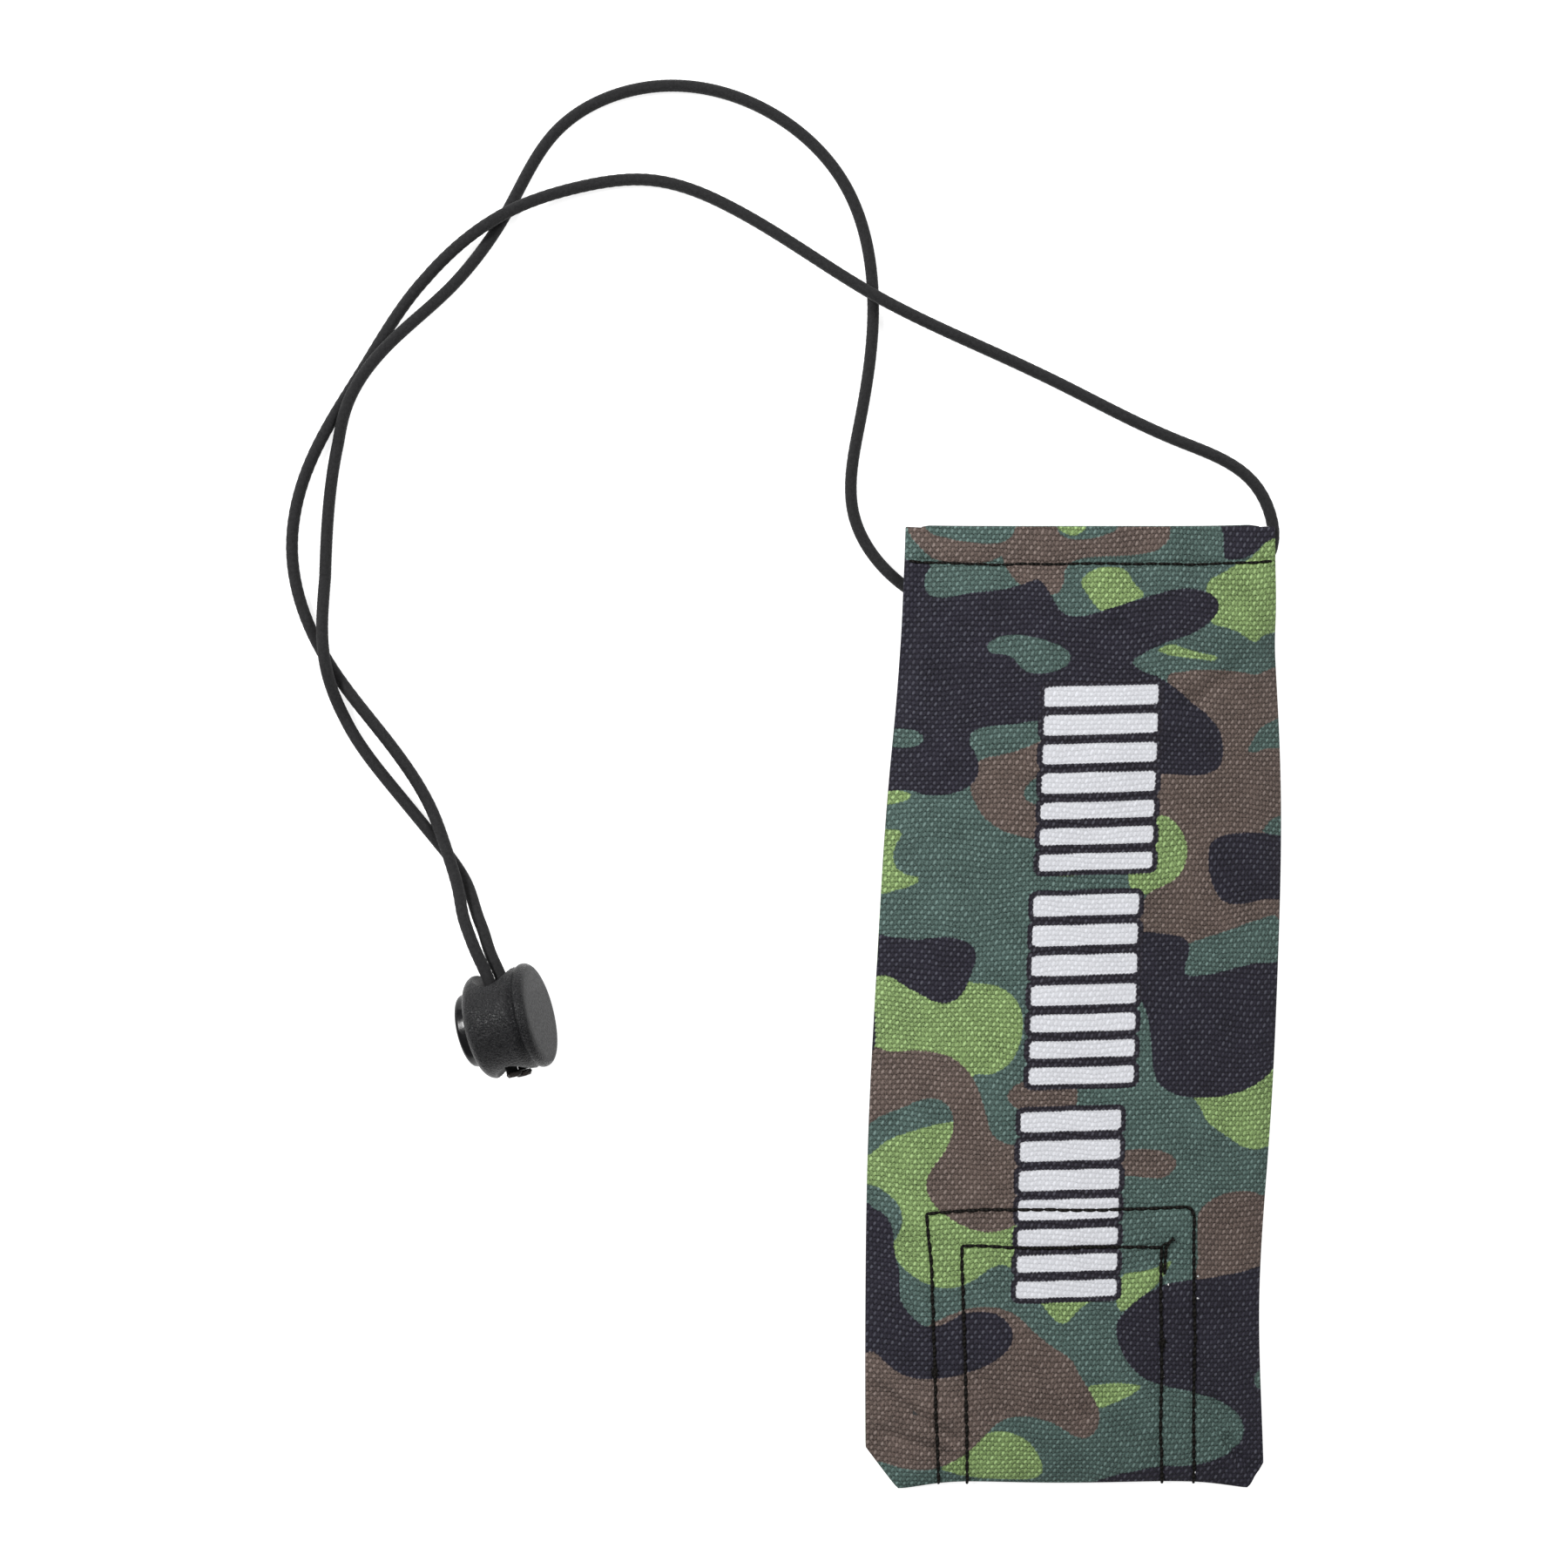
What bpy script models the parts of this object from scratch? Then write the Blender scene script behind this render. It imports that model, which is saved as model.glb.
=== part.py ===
"""Barrel cover: a flat fabric sleeve on a loop of shock cord with a sprung cord lock.

Units are metres, +Z is up. The sleeve lies on the floor, front side up, with its mouth
towards +Y. The origin is on the floor, at the middle of the sleeve's outline.
"""

import math

import bmesh
import bpy
import numpy as np
from mathutils import Matrix, Vector

MM = 0.001

# Sleeve
SLEEVE_LENGTH = 192 * MM
FABRIC = 0.5 * MM  # thickness of one ply
PLY_GAP = 0.2 * MM  # between a ply and what is sewn to it
SEAM_GAP = 1.0 * MM  # between front and back along the side and bottom seams
MOUTH_TOP = 10.0 * MM  # height of the front's middle at the mouth
BODY_TOP = 6.8 * MM  # and half way down
SHOULDER = (66 * MM, 8 * MM)  # it falls from one to the other between these places
TIP_LENGTH = 34 * MM  # the front comes down to the bottom seam over this length
HEM_DEPTH = 8.0 * MM
HEM_STITCH_DEPTH = 7.2 * MM
HEM_MARGIN = 3  # grid columns at each side that a hem's inner ply leaves free
SEAM_INSET = 1.5 * MM
SIDE_STATIONS = (  # y, left edge x, right edge x
    (-96 * MM, -41.3 * MM, 38.0 * MM),
    (-84 * MM, -41.4 * MM, 37.6 * MM),
    (-60 * MM, -41.4 * MM, 37.0 * MM),
    (-25 * MM, -40.8 * MM, 39.1 * MM),
    (10 * MM, -39.0 * MM, 40.8 * MM),
    (45 * MM, -36.7 * MM, 41.3 * MM),
    (66 * MM, -34.8 * MM, 40.4 * MM),
    (80 * MM, -34.1 * MM, 39.7 * MM),
    (96 * MM, -33.4 * MM, 39.4 * MM),
)
TIP_HALF_WIDTH = 39.4 * MM
LEFT_CORNER = (6.1 * MM, 8.8 * MM, 1.1 * MM)  # width and height that the corner cuts off, dip beside it
RIGHT_CORNER = (3.0 * MM, 5.2 * MM, 0.6 * MM)
CORNER_POWER = 1.05  # 1 for a straight cut, more for a rounded one
CORNER_DIP_REACH = 0.2  # part of the half width over which the dip fades away
BOTTOM_BOW = 0.95 * MM  # the middle of the bottom edge lies this much higher than its ends
BOTTOM_SAG = 2.0  # how far it hangs back from its highest places, beside the patch
CROWN = (2.4, 0.8)  # powers of the front's round cross-section
SLEEVE_GRID = (19, 26)  # columns and rows of a ply
STITCH_SPAN = 0.97  # part of the sleeve's width that the hem stitching crosses
SEAM_THREAD = 0.8  # of the thickness of the stitching that shows
BOTTOM_SEAM = (-0.8, 0.86)  # it runs between these, from -1 at the left edge to 1 at the right

# The back rises over the cord, which runs behind it
LIFT = 3.7 * MM
LIFT_Y = 77 * MM  # in the middle of the sleeve
LIFT_REACH = 13 * MM
LIFT_LEFT = 6.5 * MM  # it is this much nearer the mouth at the left edge
LIFT_RIGHT = 11 * MM  # and at the right edge
LIFT_FLAT = 0.3  # part of the half width where it runs straight across

# Reinforcing patch in the tip, and its two rows of stitching
PATCH_COLUMNS = (4, 15)  # grid columns of the sleeve that it spans
PATCH_ROWS = (1, 9)  # and grid rows, from the bottom edge
ROW_BOTTOM = -93.5 * MM
OUTER_ROW = (-29.5 * MM, -27.0 * MM, 23.3 * MM, -39.9 * MM)  # top left x, foot left x, right x, top y
INNER_ROW = (-22.6 * MM, -21.4 * MM, 16.8 * MM, -47.0 * MM)
ROW_CORNER = 2.2 * MM  # radius of a row's right corner
THREAD = 0.45 * MM

# Keeper: a strip of webbing that holds the cord to the back
KEEPER_X = 2.9 * MM
KEEPER_WIDTH = 20 * MM
KEEPER_THICKNESS = 0.6 * MM
KEEPER_TOP = 87.4 * MM
KEEPER_BOTTOM = 66.6 * MM
KEEPER_CORD_Y = 77 * MM
KEEPER_FLAT = 1.4 * MM  # half length of the bottom of its bow
KEEPER_BOW = 5.8 * MM  # half length of the bow
KEEPER_FLOOR = 0.05 * MM  # clearance under the bow
KEEPER_ROWS = 25
TACK_INSET = 1.5 * MM
TACK_SPAN = 0.9  # part of the keeper's width that a bartack crosses
TACK_WIDTH = 1.6 * MM
TACK_ZIGS = 11

# Shock cord
CORD = 2.45 * MM
CORD_REST = 1.25 * MM  # height of its centre where it lies on the floor
CORD_OVER = 4.7 * MM  # and where it passes over itself
CORD_POINTS = 96
SEAL_LENGTH = 0.9 * MM
SEAL_ROUND = 0.25 * MM

# Cord lock: a barrel on its side, its blind end towards the sleeve and a little up
LOCK_CENTRE = Vector((-111.6 * MM, -1.95 * MM, 11.15 * MM))
LOCK_HEADING = math.radians(14.6)
LOCK_TILT = math.radians(9.5)
BARREL_RADIUS = 10.4 * MM
BARREL_LENGTH = 13.2 * MM
BARREL_WALL = 2.95 * MM
END_WALL = 1.6 * MM
HOLE_OFFSET = -0.9 * MM  # of the cord hole from the barrel's middle, along its axis
HOLE_WIDTH = 5.6 * MM  # along the barrel's axis
HOLE_HEIGHT = 11.0 * MM
HOLE_FLARE = (  # part of the barrel's radius from its axis, how much the hole widens there
    (0.5, 0.0), (0.66, 0.04), (0.8, 0.175), (0.93, 0.4))
HOLE_MOUTH = 0.575  # how much it widens outside the barrel
MOUTH_ROUND = 1.2 * MM  # radius of the barrel's edge beside the plunger
RIM_ROUND = 1.3 * MM  # and of its edge at the blind end
END_CROWN = 0.1 * MM  # rise of the blind end's middle over its edge
PLUNGER_ROUND = 0.7 * MM
PLUNGER_CHAMFER = 0.3 * MM
PLUNGER_CLEARANCE = 0.2 * MM
PLUNGER_OUT = 2.4 * MM
PLUNGER_TRAVEL = 1.6 * MM
SPRING_ROOM = 1.9 * MM
SPRING_WIRE = 0.45 * MM
SPRING_RADII = (3.0 * MM, 5.6 * MM)  # at the plunger and at the blind end
SPRING_TURNS = 2.25
SPRING_GAP = 0.15 * MM
STRAND_SIDE = 0.95 * MM  # offset of each strand from the hole's middle, along the axis
STRAND_RISE = 1.05 * MM  # and across it
STUB_OUT = 9.9 * MM  # from the hole's middle to a strand's cut end
STRAIGHT_IN = 9.0 * MM  # straight length of a strand on the sleeve's side

LOCK_TURN = Matrix.Rotation(LOCK_HEADING, 3, "Z") @ Matrix.Rotation(-LOCK_TILT, 3, "Y")
LOCK_AXIS = LOCK_TURN @ Vector((1, 0, 0))  # from the plunger to the blind end
HOLE_AXIS = LOCK_TURN @ Vector((0, 1, 0))  # towards the sleeve
LOCK_UP = LOCK_TURN @ Vector((0, 0, 1))
HOLE_CENTRE = LOCK_CENTRE + HOLE_OFFSET * LOCK_AXIS

COLOURS = {  # base colour, roughness
    "camouflage": ((0.06, 0.09, 0.07, 1), 0.85),
    "hem": ((0.05, 0.08, 0.06, 1), 0.85),
    "thread": ((0.012, 0.012, 0.014, 1), 0.6),
    "patch": ((0.02, 0.02, 0.022, 1), 0.8),
    "webbing": ((0.015, 0.015, 0.016, 1), 0.75),
    "cord": ((0.022, 0.022, 0.022, 1), 0.7),
    "sealed end": ((0.03, 0.02, 0.015, 1), 0.35),
    "textured plastic": ((0.045, 0.045, 0.048, 1), 0.5),
    "gloss plastic": ((0.02, 0.02, 0.021, 1), 0.25),
    "spring steel": ((0.55, 0.55, 0.57, 1), 0.3),
}


def clear_scene():
    for obj in list(bpy.data.objects):
        bpy.data.objects.remove(obj, do_unlink=True)


def make_collection(name):
    collection = bpy.data.collections.new(name)
    bpy.context.scene.collection.children.link(collection)
    return collection


def make_material(name):
    colour, roughness = COLOURS[name]
    material = bpy.data.materials.new(name)
    material.use_nodes = True
    shader = material.node_tree.nodes["Principled BSDF"]
    shader.inputs["Base Color"].default_value = colour
    shader.inputs["Roughness"].default_value = roughness
    shader.inputs["Metallic"].default_value = 1.0 if name == "spring steel" else 0.0
    material.diffuse_color = colour
    return material


def add_object(name, data, material):
    obj = bpy.data.objects.new(name, data)
    PARTS.objects.link(obj)
    obj.data.materials.append(MATERIALS[material])
    return obj


def smooth_curve(knots, samples):
    """Points of a natural cubic spline through the knots, evenly spaced along it."""
    knots = np.array(knots, float)
    gaps = np.linalg.norm(np.diff(knots, axis=0), axis=1)
    place = np.concatenate([[0], np.cumsum(gaps)])
    count = len(knots)
    system = np.eye(count)
    target = np.zeros_like(knots)
    for i in range(1, count - 1):
        before = gaps[i - 1]
        after = gaps[i]
        system[i, i - 1 : i + 2] = (before, 2 * (before + after), after)
        slopes = (knots[i + 1] - knots[i]) / after - (knots[i] - knots[i - 1]) / before
        target[i] = 6 * slopes
    bends = np.linalg.solve(system, target)
    fine = np.linspace(0, place[-1], 40 * count)
    index = np.clip(np.searchsorted(place, fine) - 1, 0, count - 2)
    gap = gaps[index][:, None]
    left = (place[index + 1] - fine)[:, None]
    right = (fine - place[index])[:, None]
    points = (bends[index] * left**3 + bends[index + 1] * right**3) / (6 * gap)
    points += (knots[index] / gap - bends[index] * gap / 6) * left
    points += (knots[index + 1] / gap - bends[index + 1] * gap / 6) * right
    length = np.concatenate([[0], np.cumsum(np.linalg.norm(np.diff(points, axis=0), axis=1))])
    even = np.linspace(0, length[-1], samples)
    return np.column_stack([np.interp(even, length, points[:, i]) for i in range(points.shape[1])])


EDGES = smooth_curve(SIDE_STATIONS, 120)


def side_edges(y):
    """x of the left and the right edge at y."""
    return np.interp(y, EDGES[:, 0], EDGES[:, 1]), np.interp(y, EDGES[:, 0], EDGES[:, 2])


def bottom_edge(u):
    """y of the bottom edge at u, which runs from -1 at the left edge to 1 at the right."""
    width, height, dip = LEFT_CORNER if u < 0 else RIGHT_CORNER
    reach = width / TIP_HALF_WIDTH
    into_corner = max(0.0, (abs(u) - 1 + reach) / reach)
    inside = max(0.0, 1 - reach - abs(u))
    bow = BOTTOM_BOW * (1 - u * u) * (1 + (1 + BOTTOM_SAG) * u * u)
    bow -= dip * math.exp(-((inside / CORNER_DIP_REACH) ** 2))
    return -SLEEVE_LENGTH / 2 + bow + height * into_corner**CORNER_POWER


def lift(u, y):
    """Height of the back's underside over the floor."""
    towards_edge = max(0.0, (abs(u) - LIFT_FLAT) / (1 - LIFT_FLAT))
    middle = LIFT_Y + (LIFT_LEFT if u < 0 else LIFT_RIGHT) * towards_edge**2
    return LIFT * math.exp(-(((y - middle) / LIFT_REACH) ** 4))


def smooth_step(t):
    t = min(1.0, max(0.0, t))
    return t * t * (3 - 2 * t)


def back_height(u, y):
    """Height of the middle of the back ply."""
    return FABRIC / 2 + lift(u, y)


def front_height(u, y):
    """Height of the middle of the front ply: up from its seams to a broad crown."""
    seam = back_height(u, y) + FABRIC + SEAM_GAP
    top = BODY_TOP + (MOUTH_TOP - BODY_TOP) * smooth_step((y - SHOULDER[1]) / (SHOULDER[0] - SHOULDER[1]))
    bulge, shoulder = CROWN
    across = (1 - min(1.0, abs(u)) ** bulge) ** shoulder
    along = min(1.0, max(0.0, (y - bottom_edge(u)) / TIP_LENGTH))
    return seam + (top - seam) * across * (1 - (1 - along) ** bulge) ** shoulder


def across_sleeve(x, y):
    """u of a point on the sleeve."""
    left, right = side_edges(y)
    return (2 * x - left - right) / (right - left)


def place_on_sleeve(u, y):
    """x of a point on the sleeve."""
    left, right = side_edges(y)
    return (left + right) / 2 + u * (right - left) / 2


def add_ply(name, material, height, columns, fractions):
    """A sheet over a grid: columns are values of u, fractions run from the bottom edge to the mouth."""
    mesh = bpy.data.meshes.new(name)
    bm = bmesh.new()
    bmesh.ops.create_grid(bm, x_segments=len(columns) - 1, y_segments=len(fractions) - 1, size=1)
    for vert in bm.verts:
        u = columns[round((vert.co.x + 1) / 2 * (len(columns) - 1))]
        fraction = fractions[round((vert.co.y + 1) / 2 * (len(fractions) - 1))]
        y = bottom_edge(u) + fraction * (SLEEVE_LENGTH / 2 - bottom_edge(u))
        vert.co = (place_on_sleeve(u, y), y, height(u, y))
    bm.to_mesh(mesh)
    bm.free()
    mesh.shade_smooth()
    obj = add_object(name, mesh, material)
    solidify = obj.modifiers.new("Thickness", "SOLIDIFY")
    solidify.thickness = FABRIC
    solidify.offset = 0
    return obj


def eased(count, span=1.0):
    """Values from -span to span that crowd towards both ends."""
    return [span * math.sin(t * math.pi / 2) for t in np.linspace(-1, 1, count)]


# Every ply shares these grid lines, so that plies that lie on each other stay parallel
COLUMNS = eased(SLEEVE_GRID[0])
HEM_LINE = 1 - HEM_DEPTH / SLEEVE_LENGTH
FRACTIONS = [*np.linspace(0, HEM_LINE, SLEEVE_GRID[1]), (1 + HEM_LINE) / 2, 1]


def add_panels():
    add_ply("back_panel", "camouflage", back_height, COLUMNS, FRACTIONS)
    add_ply("front_panel", "camouflage", front_height, COLUMNS, FRACTIONS)


def add_hems():
    step = FABRIC + PLY_GAP
    columns = COLUMNS[HEM_MARGIN:-HEM_MARGIN]
    fractions = FRACTIONS[-3:]
    add_ply("front_hem", "hem", lambda u, y: front_height(u, y) - step, columns, fractions)
    add_ply("back_hem", "hem", lambda u, y: back_height(u, y) + step, columns, fractions)


def add_patch():
    """The reinforcing ply under the front of the tip."""
    step = FABRIC + PLY_GAP
    columns = COLUMNS[slice(*PATCH_COLUMNS)]
    fractions = FRACTIONS[slice(*PATCH_ROWS)]
    add_ply("impact_patch", "patch", lambda u, y: front_height(u, y) - step, columns, fractions)


def add_tube(name, material, points, diameter, resolution=1, closed=False):
    """A wire or thread along the points."""
    curve = bpy.data.curves.new(name, "CURVE")
    curve.dimensions = "3D"
    curve.bevel_depth = diameter / 2
    curve.bevel_resolution = resolution
    curve.use_fill_caps = not closed
    spline = curve.splines.new("POLY")
    spline.points.add(len(points) - 1)
    for point, place in zip(spline.points, points):
        point.co = (*place, 1)
    spline.use_cyclic_u = closed
    return add_object(name, curve, material)


def over_front(x, y):
    """A point just over the front panel."""
    stand_off = FABRIC / 2 + PLY_GAP + THREAD / 2
    return x, y, front_height(across_sleeve(x, y), y) + stand_off


def under_back(x, y):
    """A point just under the back panel."""
    stand_off = FABRIC / 2 + PLY_GAP + THREAD / 2
    return x, y, back_height(across_sleeve(x, y), y) - stand_off


def add_hem_stitching():
    y = SLEEVE_LENGTH / 2 - HEM_STITCH_DEPTH
    places = [place_on_sleeve(u, y) for u in eased(SLEEVE_GRID[0], STITCH_SPAN)]
    add_tube("hem_stitch_front", "thread", [over_front(x, y) for x in places], THREAD)
    add_tube("hem_stitch_back", "thread", [under_back(x, y) for x in places], THREAD)


def seam_point(x, y):
    """A point midway between front and back, near their seam."""
    u = across_sleeve(x, y)
    return x, y, back_height(u, y) + FABRIC / 2 + SEAM_GAP / 2


def add_seam_stitching():
    for name, side in (("left", -1), ("right", 1)):
        low = bottom_edge(side)
        rows = [low + fraction * (SLEEVE_LENGTH / 2 - low) for fraction in FRACTIONS[1:]]
        rows[-1] -= PLY_GAP
        points = [seam_point(place_on_sleeve(side, y) - side * SEAM_INSET, y) for y in rows]
        add_tube(f"{name}_seam_stitch", "thread", points, SEAM_THREAD * THREAD, resolution=0)
    bottom = []
    for u in np.linspace(*BOTTOM_SEAM, 9):
        y = bottom_edge(u) + SEAM_INSET
        bottom.append(seam_point(place_on_sleeve(u, y), y))
    add_tube("bottom_seam_stitch", "thread", bottom, SEAM_THREAD * THREAD, resolution=0)


def row_outline(row):
    """Points of a row of patch stitching: up the left, across, round the corner, down the right."""
    top_left, foot_left, right, top = row
    points = [(foot_left + (top_left - foot_left) * t, ROW_BOTTOM + (top - ROW_BOTTOM) * t)
              for t in np.linspace(0, 1, 11)]
    points += [(x, top) for x in np.linspace(top_left, right - ROW_CORNER, 9)[1:]]
    for angle in np.radians((60, 30, 0)):
        x = right - ROW_CORNER * (1 - math.cos(angle))
        points.append((x, top - ROW_CORNER * (1 - math.sin(angle))))
    points += [(right, y) for y in np.linspace(top - ROW_CORNER, ROW_BOTTOM, 10)[1:]]
    return points


def add_patch_stitching():
    for name, row in (("patch_stitch_outer", OUTER_ROW), ("patch_stitch_inner", INNER_ROW)):
        add_tube(name, "thread", [over_front(x, y) for x, y in row_outline(row)], THREAD)


def back_underside(y):
    """Height of the back panel's underside along its middle, with the flats of its grid."""
    rows = [bottom_edge(0) + f * (SLEEVE_LENGTH / 2 - bottom_edge(0)) for f in FRACTIONS]
    return float(np.interp(y, rows, [lift(0, row) for row in rows]))


def keeper_height(y):
    """Height of the middle of the keeper strip: against the back, and bowed down under the cord."""
    against_back = back_underside(y) - PLY_GAP - KEEPER_THICKNESS / 2
    lowest = KEEPER_THICKNESS / 2 + KEEPER_FLOOR
    ease = smooth_step((abs(y - KEEPER_CORD_Y) - KEEPER_FLAT) / (KEEPER_BOW - KEEPER_FLAT))
    return lowest + (against_back - lowest) * ease


def add_keeper():
    mesh = bpy.data.meshes.new("cord_keeper")
    bm = bmesh.new()
    ys = np.linspace(KEEPER_BOTTOM, KEEPER_TOP, KEEPER_ROWS)
    bmesh.ops.create_grid(bm, x_segments=2, y_segments=len(ys) - 1, size=1)
    for vert in bm.verts:
        y = ys[round((vert.co.y + 1) / 2 * (len(ys) - 1))]
        vert.co = (KEEPER_X + vert.co.x * KEEPER_WIDTH / 2, y, keeper_height(y))
    bm.to_mesh(mesh)
    bm.free()
    obj = add_object("cord_keeper", mesh, "webbing")
    solidify = obj.modifiers.new("Thickness", "SOLIDIFY")
    solidify.thickness = KEEPER_THICKNESS
    solidify.offset = 0
    add_bartack("keeper_bartack_upper", KEEPER_TOP - TACK_INSET)
    add_bartack("keeper_bartack_lower", KEEPER_BOTTOM + TACK_INSET)


def add_bartack(name, centre_y):
    """A zigzag of thread under the keeper, along its end."""
    points = []
    for i in range(2 * TACK_ZIGS + 1):
        x = KEEPER_X + KEEPER_WIDTH * TACK_SPAN / 2 * (i / TACK_ZIGS - 1)
        y = centre_y + TACK_WIDTH / 2 * (-1) ** i
        z = keeper_height(y) - KEEPER_THICKNESS / 2 - PLY_GAP - THREAD / 2
        points.append((x, y, z))
    add_tube(name, "thread", points, SEAM_THREAD * THREAD, resolution=0)


def in_lock(side, along):
    """A point on a strand in the cord lock: side is 1 or -1, and along runs towards the sleeve."""
    across = side * (STRAND_SIDE * LOCK_AXIS - STRAND_RISE * LOCK_UP)
    return HOLE_CENTRE + across + along * HOLE_AXIS


def cord_route():
    """The cord's centre, from one cut end through the lock, round its loops and the keeper, and back."""
    rest = CORD_REST / MM
    over = CORD_OVER / MM
    middle = [
        (-115.4, 11.5, 9.6),
        (-116.4, 15.4, 8.4),
        (-117.3, 17.9, 7.4),
        (-120.7, 23.9, 4.4),
        (-125.3, 30.5, rest),
        (-135.8, 43.3, rest),
        (-145.8, 57.6, rest),
        (-149.0, 67.8, over),
        (-149.8, 86.0, rest),
        (-147.2, 112.7, rest),
        (-144.8, 120.4, 3.7),
        (-141.4, 126.5, 3.9),
        (-124.5, 144.1, rest),
        (-113.3, 159.2, rest),
        (-103.4, 175.3, rest),
        (-83.7, 184.2, rest),
        (-60.0, 178.6, rest),
        (-45.5, 164.1, rest),
        (-40.1, 142.5, rest),
        (-42.7, 117.0, rest),
        (-43.8, 97.9, rest),
        (-35.4, 85.4, rest),
        (KEEPER_X / MM, KEEPER_CORD_Y / MM, 2.1),
        (22.0, 79.8, 1.9),
        (34.4, 84.6, rest),
        (39.9, 92.3, rest),
        (39.4, 98.7, rest),
        (36.2, 104.7, rest),
        (20.9, 113.3, rest),
        (-7.7, 127.1, rest),
        (-39.7, 141.6, over),
        (-69.3, 160.4, rest),
        (-84.2, 165.4, rest),
        (-98.9, 163.9, 1.8),
        (-112.9, 158.2, over),
        (-129.6, 145.8, rest),
        (-142.5, 127.0, rest),
        (-153.9, 106.0, rest),
        (-156.4, 90.5, rest),
        (-149.9, 70.1, rest),
        (-137.3, 53.1, rest),
        (-128.3, 39.2, 2.0),
        (-124.8, 30.7, 4.6),
        (-122.2, 23.1, 7.4),
        (-120.7, 18.0, 9.7),
        (-119.6, 15.4, 10.6),
        (-118.0, 11.7, 11.5),
    ]
    first = [in_lock(1, -STUB_OUT), in_lock(1, 0), in_lock(1, STRAIGHT_IN)]
    last = [in_lock(-1, STRAIGHT_IN), in_lock(-1, 0), in_lock(-1, -STUB_OUT)]
    route = smooth_curve([*first, *(Vector(place) * MM for place in middle), *last], CORD_POINTS)
    route[:, 2] = np.maximum(route[:, 2], CORD_REST)
    return route


def add_cord():
    add_tube("shock_cord", "cord", cord_route(), CORD, resolution=2)
    for name, side in (("cord_seal_first", 1), ("cord_seal_second", -1)):
        add_seal(name, in_lock(side, -STUB_OUT - PLY_GAP))


def add_seal(name, start):
    """The melted end of the cord: a short plug with a rounded face."""
    mesh = bpy.data.meshes.new(name)
    bm = bmesh.new()
    turn = HOLE_AXIS.to_track_quat("-Z", "Y").to_matrix().to_4x4()
    middle = start - HOLE_AXIS * SEAL_LENGTH / 2
    bmesh.ops.create_cone(bm, cap_ends=True, segments=16, radius1=CORD / 2, radius2=CORD / 2,
                          depth=SEAL_LENGTH, matrix=Matrix.Translation(middle) @ turn)
    bm.to_mesh(mesh)
    bm.free()
    obj = add_object(name, mesh, "sealed end")
    bevel = obj.modifiers.new("Rounded", "BEVEL")
    bevel.width = SEAL_ROUND
    bevel.segments = 2


def arc(centre, radius, start, end, count):
    """Points of an arc of a turned profile, as (along the axis, radius)."""
    angles = np.radians(np.linspace(start, end, count))
    return [(centre[0] + radius * math.cos(a), centre[1] + radius * math.sin(a)) for a in angles]


def turned(name, profile, collection, steps=40):
    """A closed solid turned about Z: the profile is (z, radius), from the bottom up its outer side."""
    mesh = bpy.data.meshes.new(name)
    bm = bmesh.new()
    verts = [bm.verts.new((radius, 0, z)) for z, radius in profile]
    for start, end in zip(verts, verts[1:]):
        bm.edges.new((start, end))
    bmesh.ops.spin(bm, geom=bm.verts[:] + bm.edges[:], axis=(0, 0, 1), cent=(0, 0, 0),
                   angle=2 * math.pi, steps=steps, use_merge=True)
    bmesh.ops.remove_doubles(bm, verts=bm.verts, dist=0.001 * MM)
    bmesh.ops.recalc_face_normals(bm, faces=bm.faces)
    bm.to_mesh(mesh)
    bm.free()
    obj = bpy.data.objects.new(name, mesh)
    collection.objects.link(obj)
    return obj


def stand_on_axis(obj):
    """Turns a solid made about Z so that its Z runs along the lock's axis, from the barrel's middle."""
    along = (LOCK_TURN @ Matrix.Rotation(math.radians(90), 3, "Y")).to_4x4()
    obj.matrix_world = Matrix.Translation(LOCK_CENTRE) @ along


def add_hole_cutter(name, width, height, shift, flare):
    """An oval hole through the barrel. A flare of 1 opens it towards both mouths, and 0 keeps it straight."""
    reach = BARREL_RADIUS + 2 * MM
    half = [(share * BARREL_RADIUS, 1 + flare * widening) for share, widening in HOLE_FLARE]
    half.append((reach, 1 + flare * HOLE_MOUTH))
    profile = [(-reach, 0), *((-z, r) for z, r in reversed(half)), *half, (reach, 0)]
    cutter = turned(name, profile, GUIDES, steps=32)
    stretch = Matrix.Diagonal((height / 2, width / 2, 1, 1))
    cutter.data.transform(Matrix.Rotation(math.radians(-90), 4, "X") @ stretch)
    place = HOLE_CENTRE + shift * LOCK_AXIS
    upright = LOCK_TURN @ Matrix.Rotation(math.radians(90), 3, "Y")
    cutter.matrix_world = Matrix.Translation(place) @ upright.to_4x4()
    cutter.hide_render = True
    cutter.display_type = "WIRE"
    return cutter


def cut(obj, cutter):
    boolean = obj.modifiers.new("Cord hole", "BOOLEAN")
    boolean.operation = "DIFFERENCE"
    boolean.object = cutter
    boolean.solver = "EXACT"


def finish_turned(obj, material):
    obj.data.materials.append(MATERIALS[material])
    obj.data.shade_smooth()
    obj.data.set_sharp_from_angle(angle=math.radians(35))
    stand_on_axis(obj)


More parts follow.
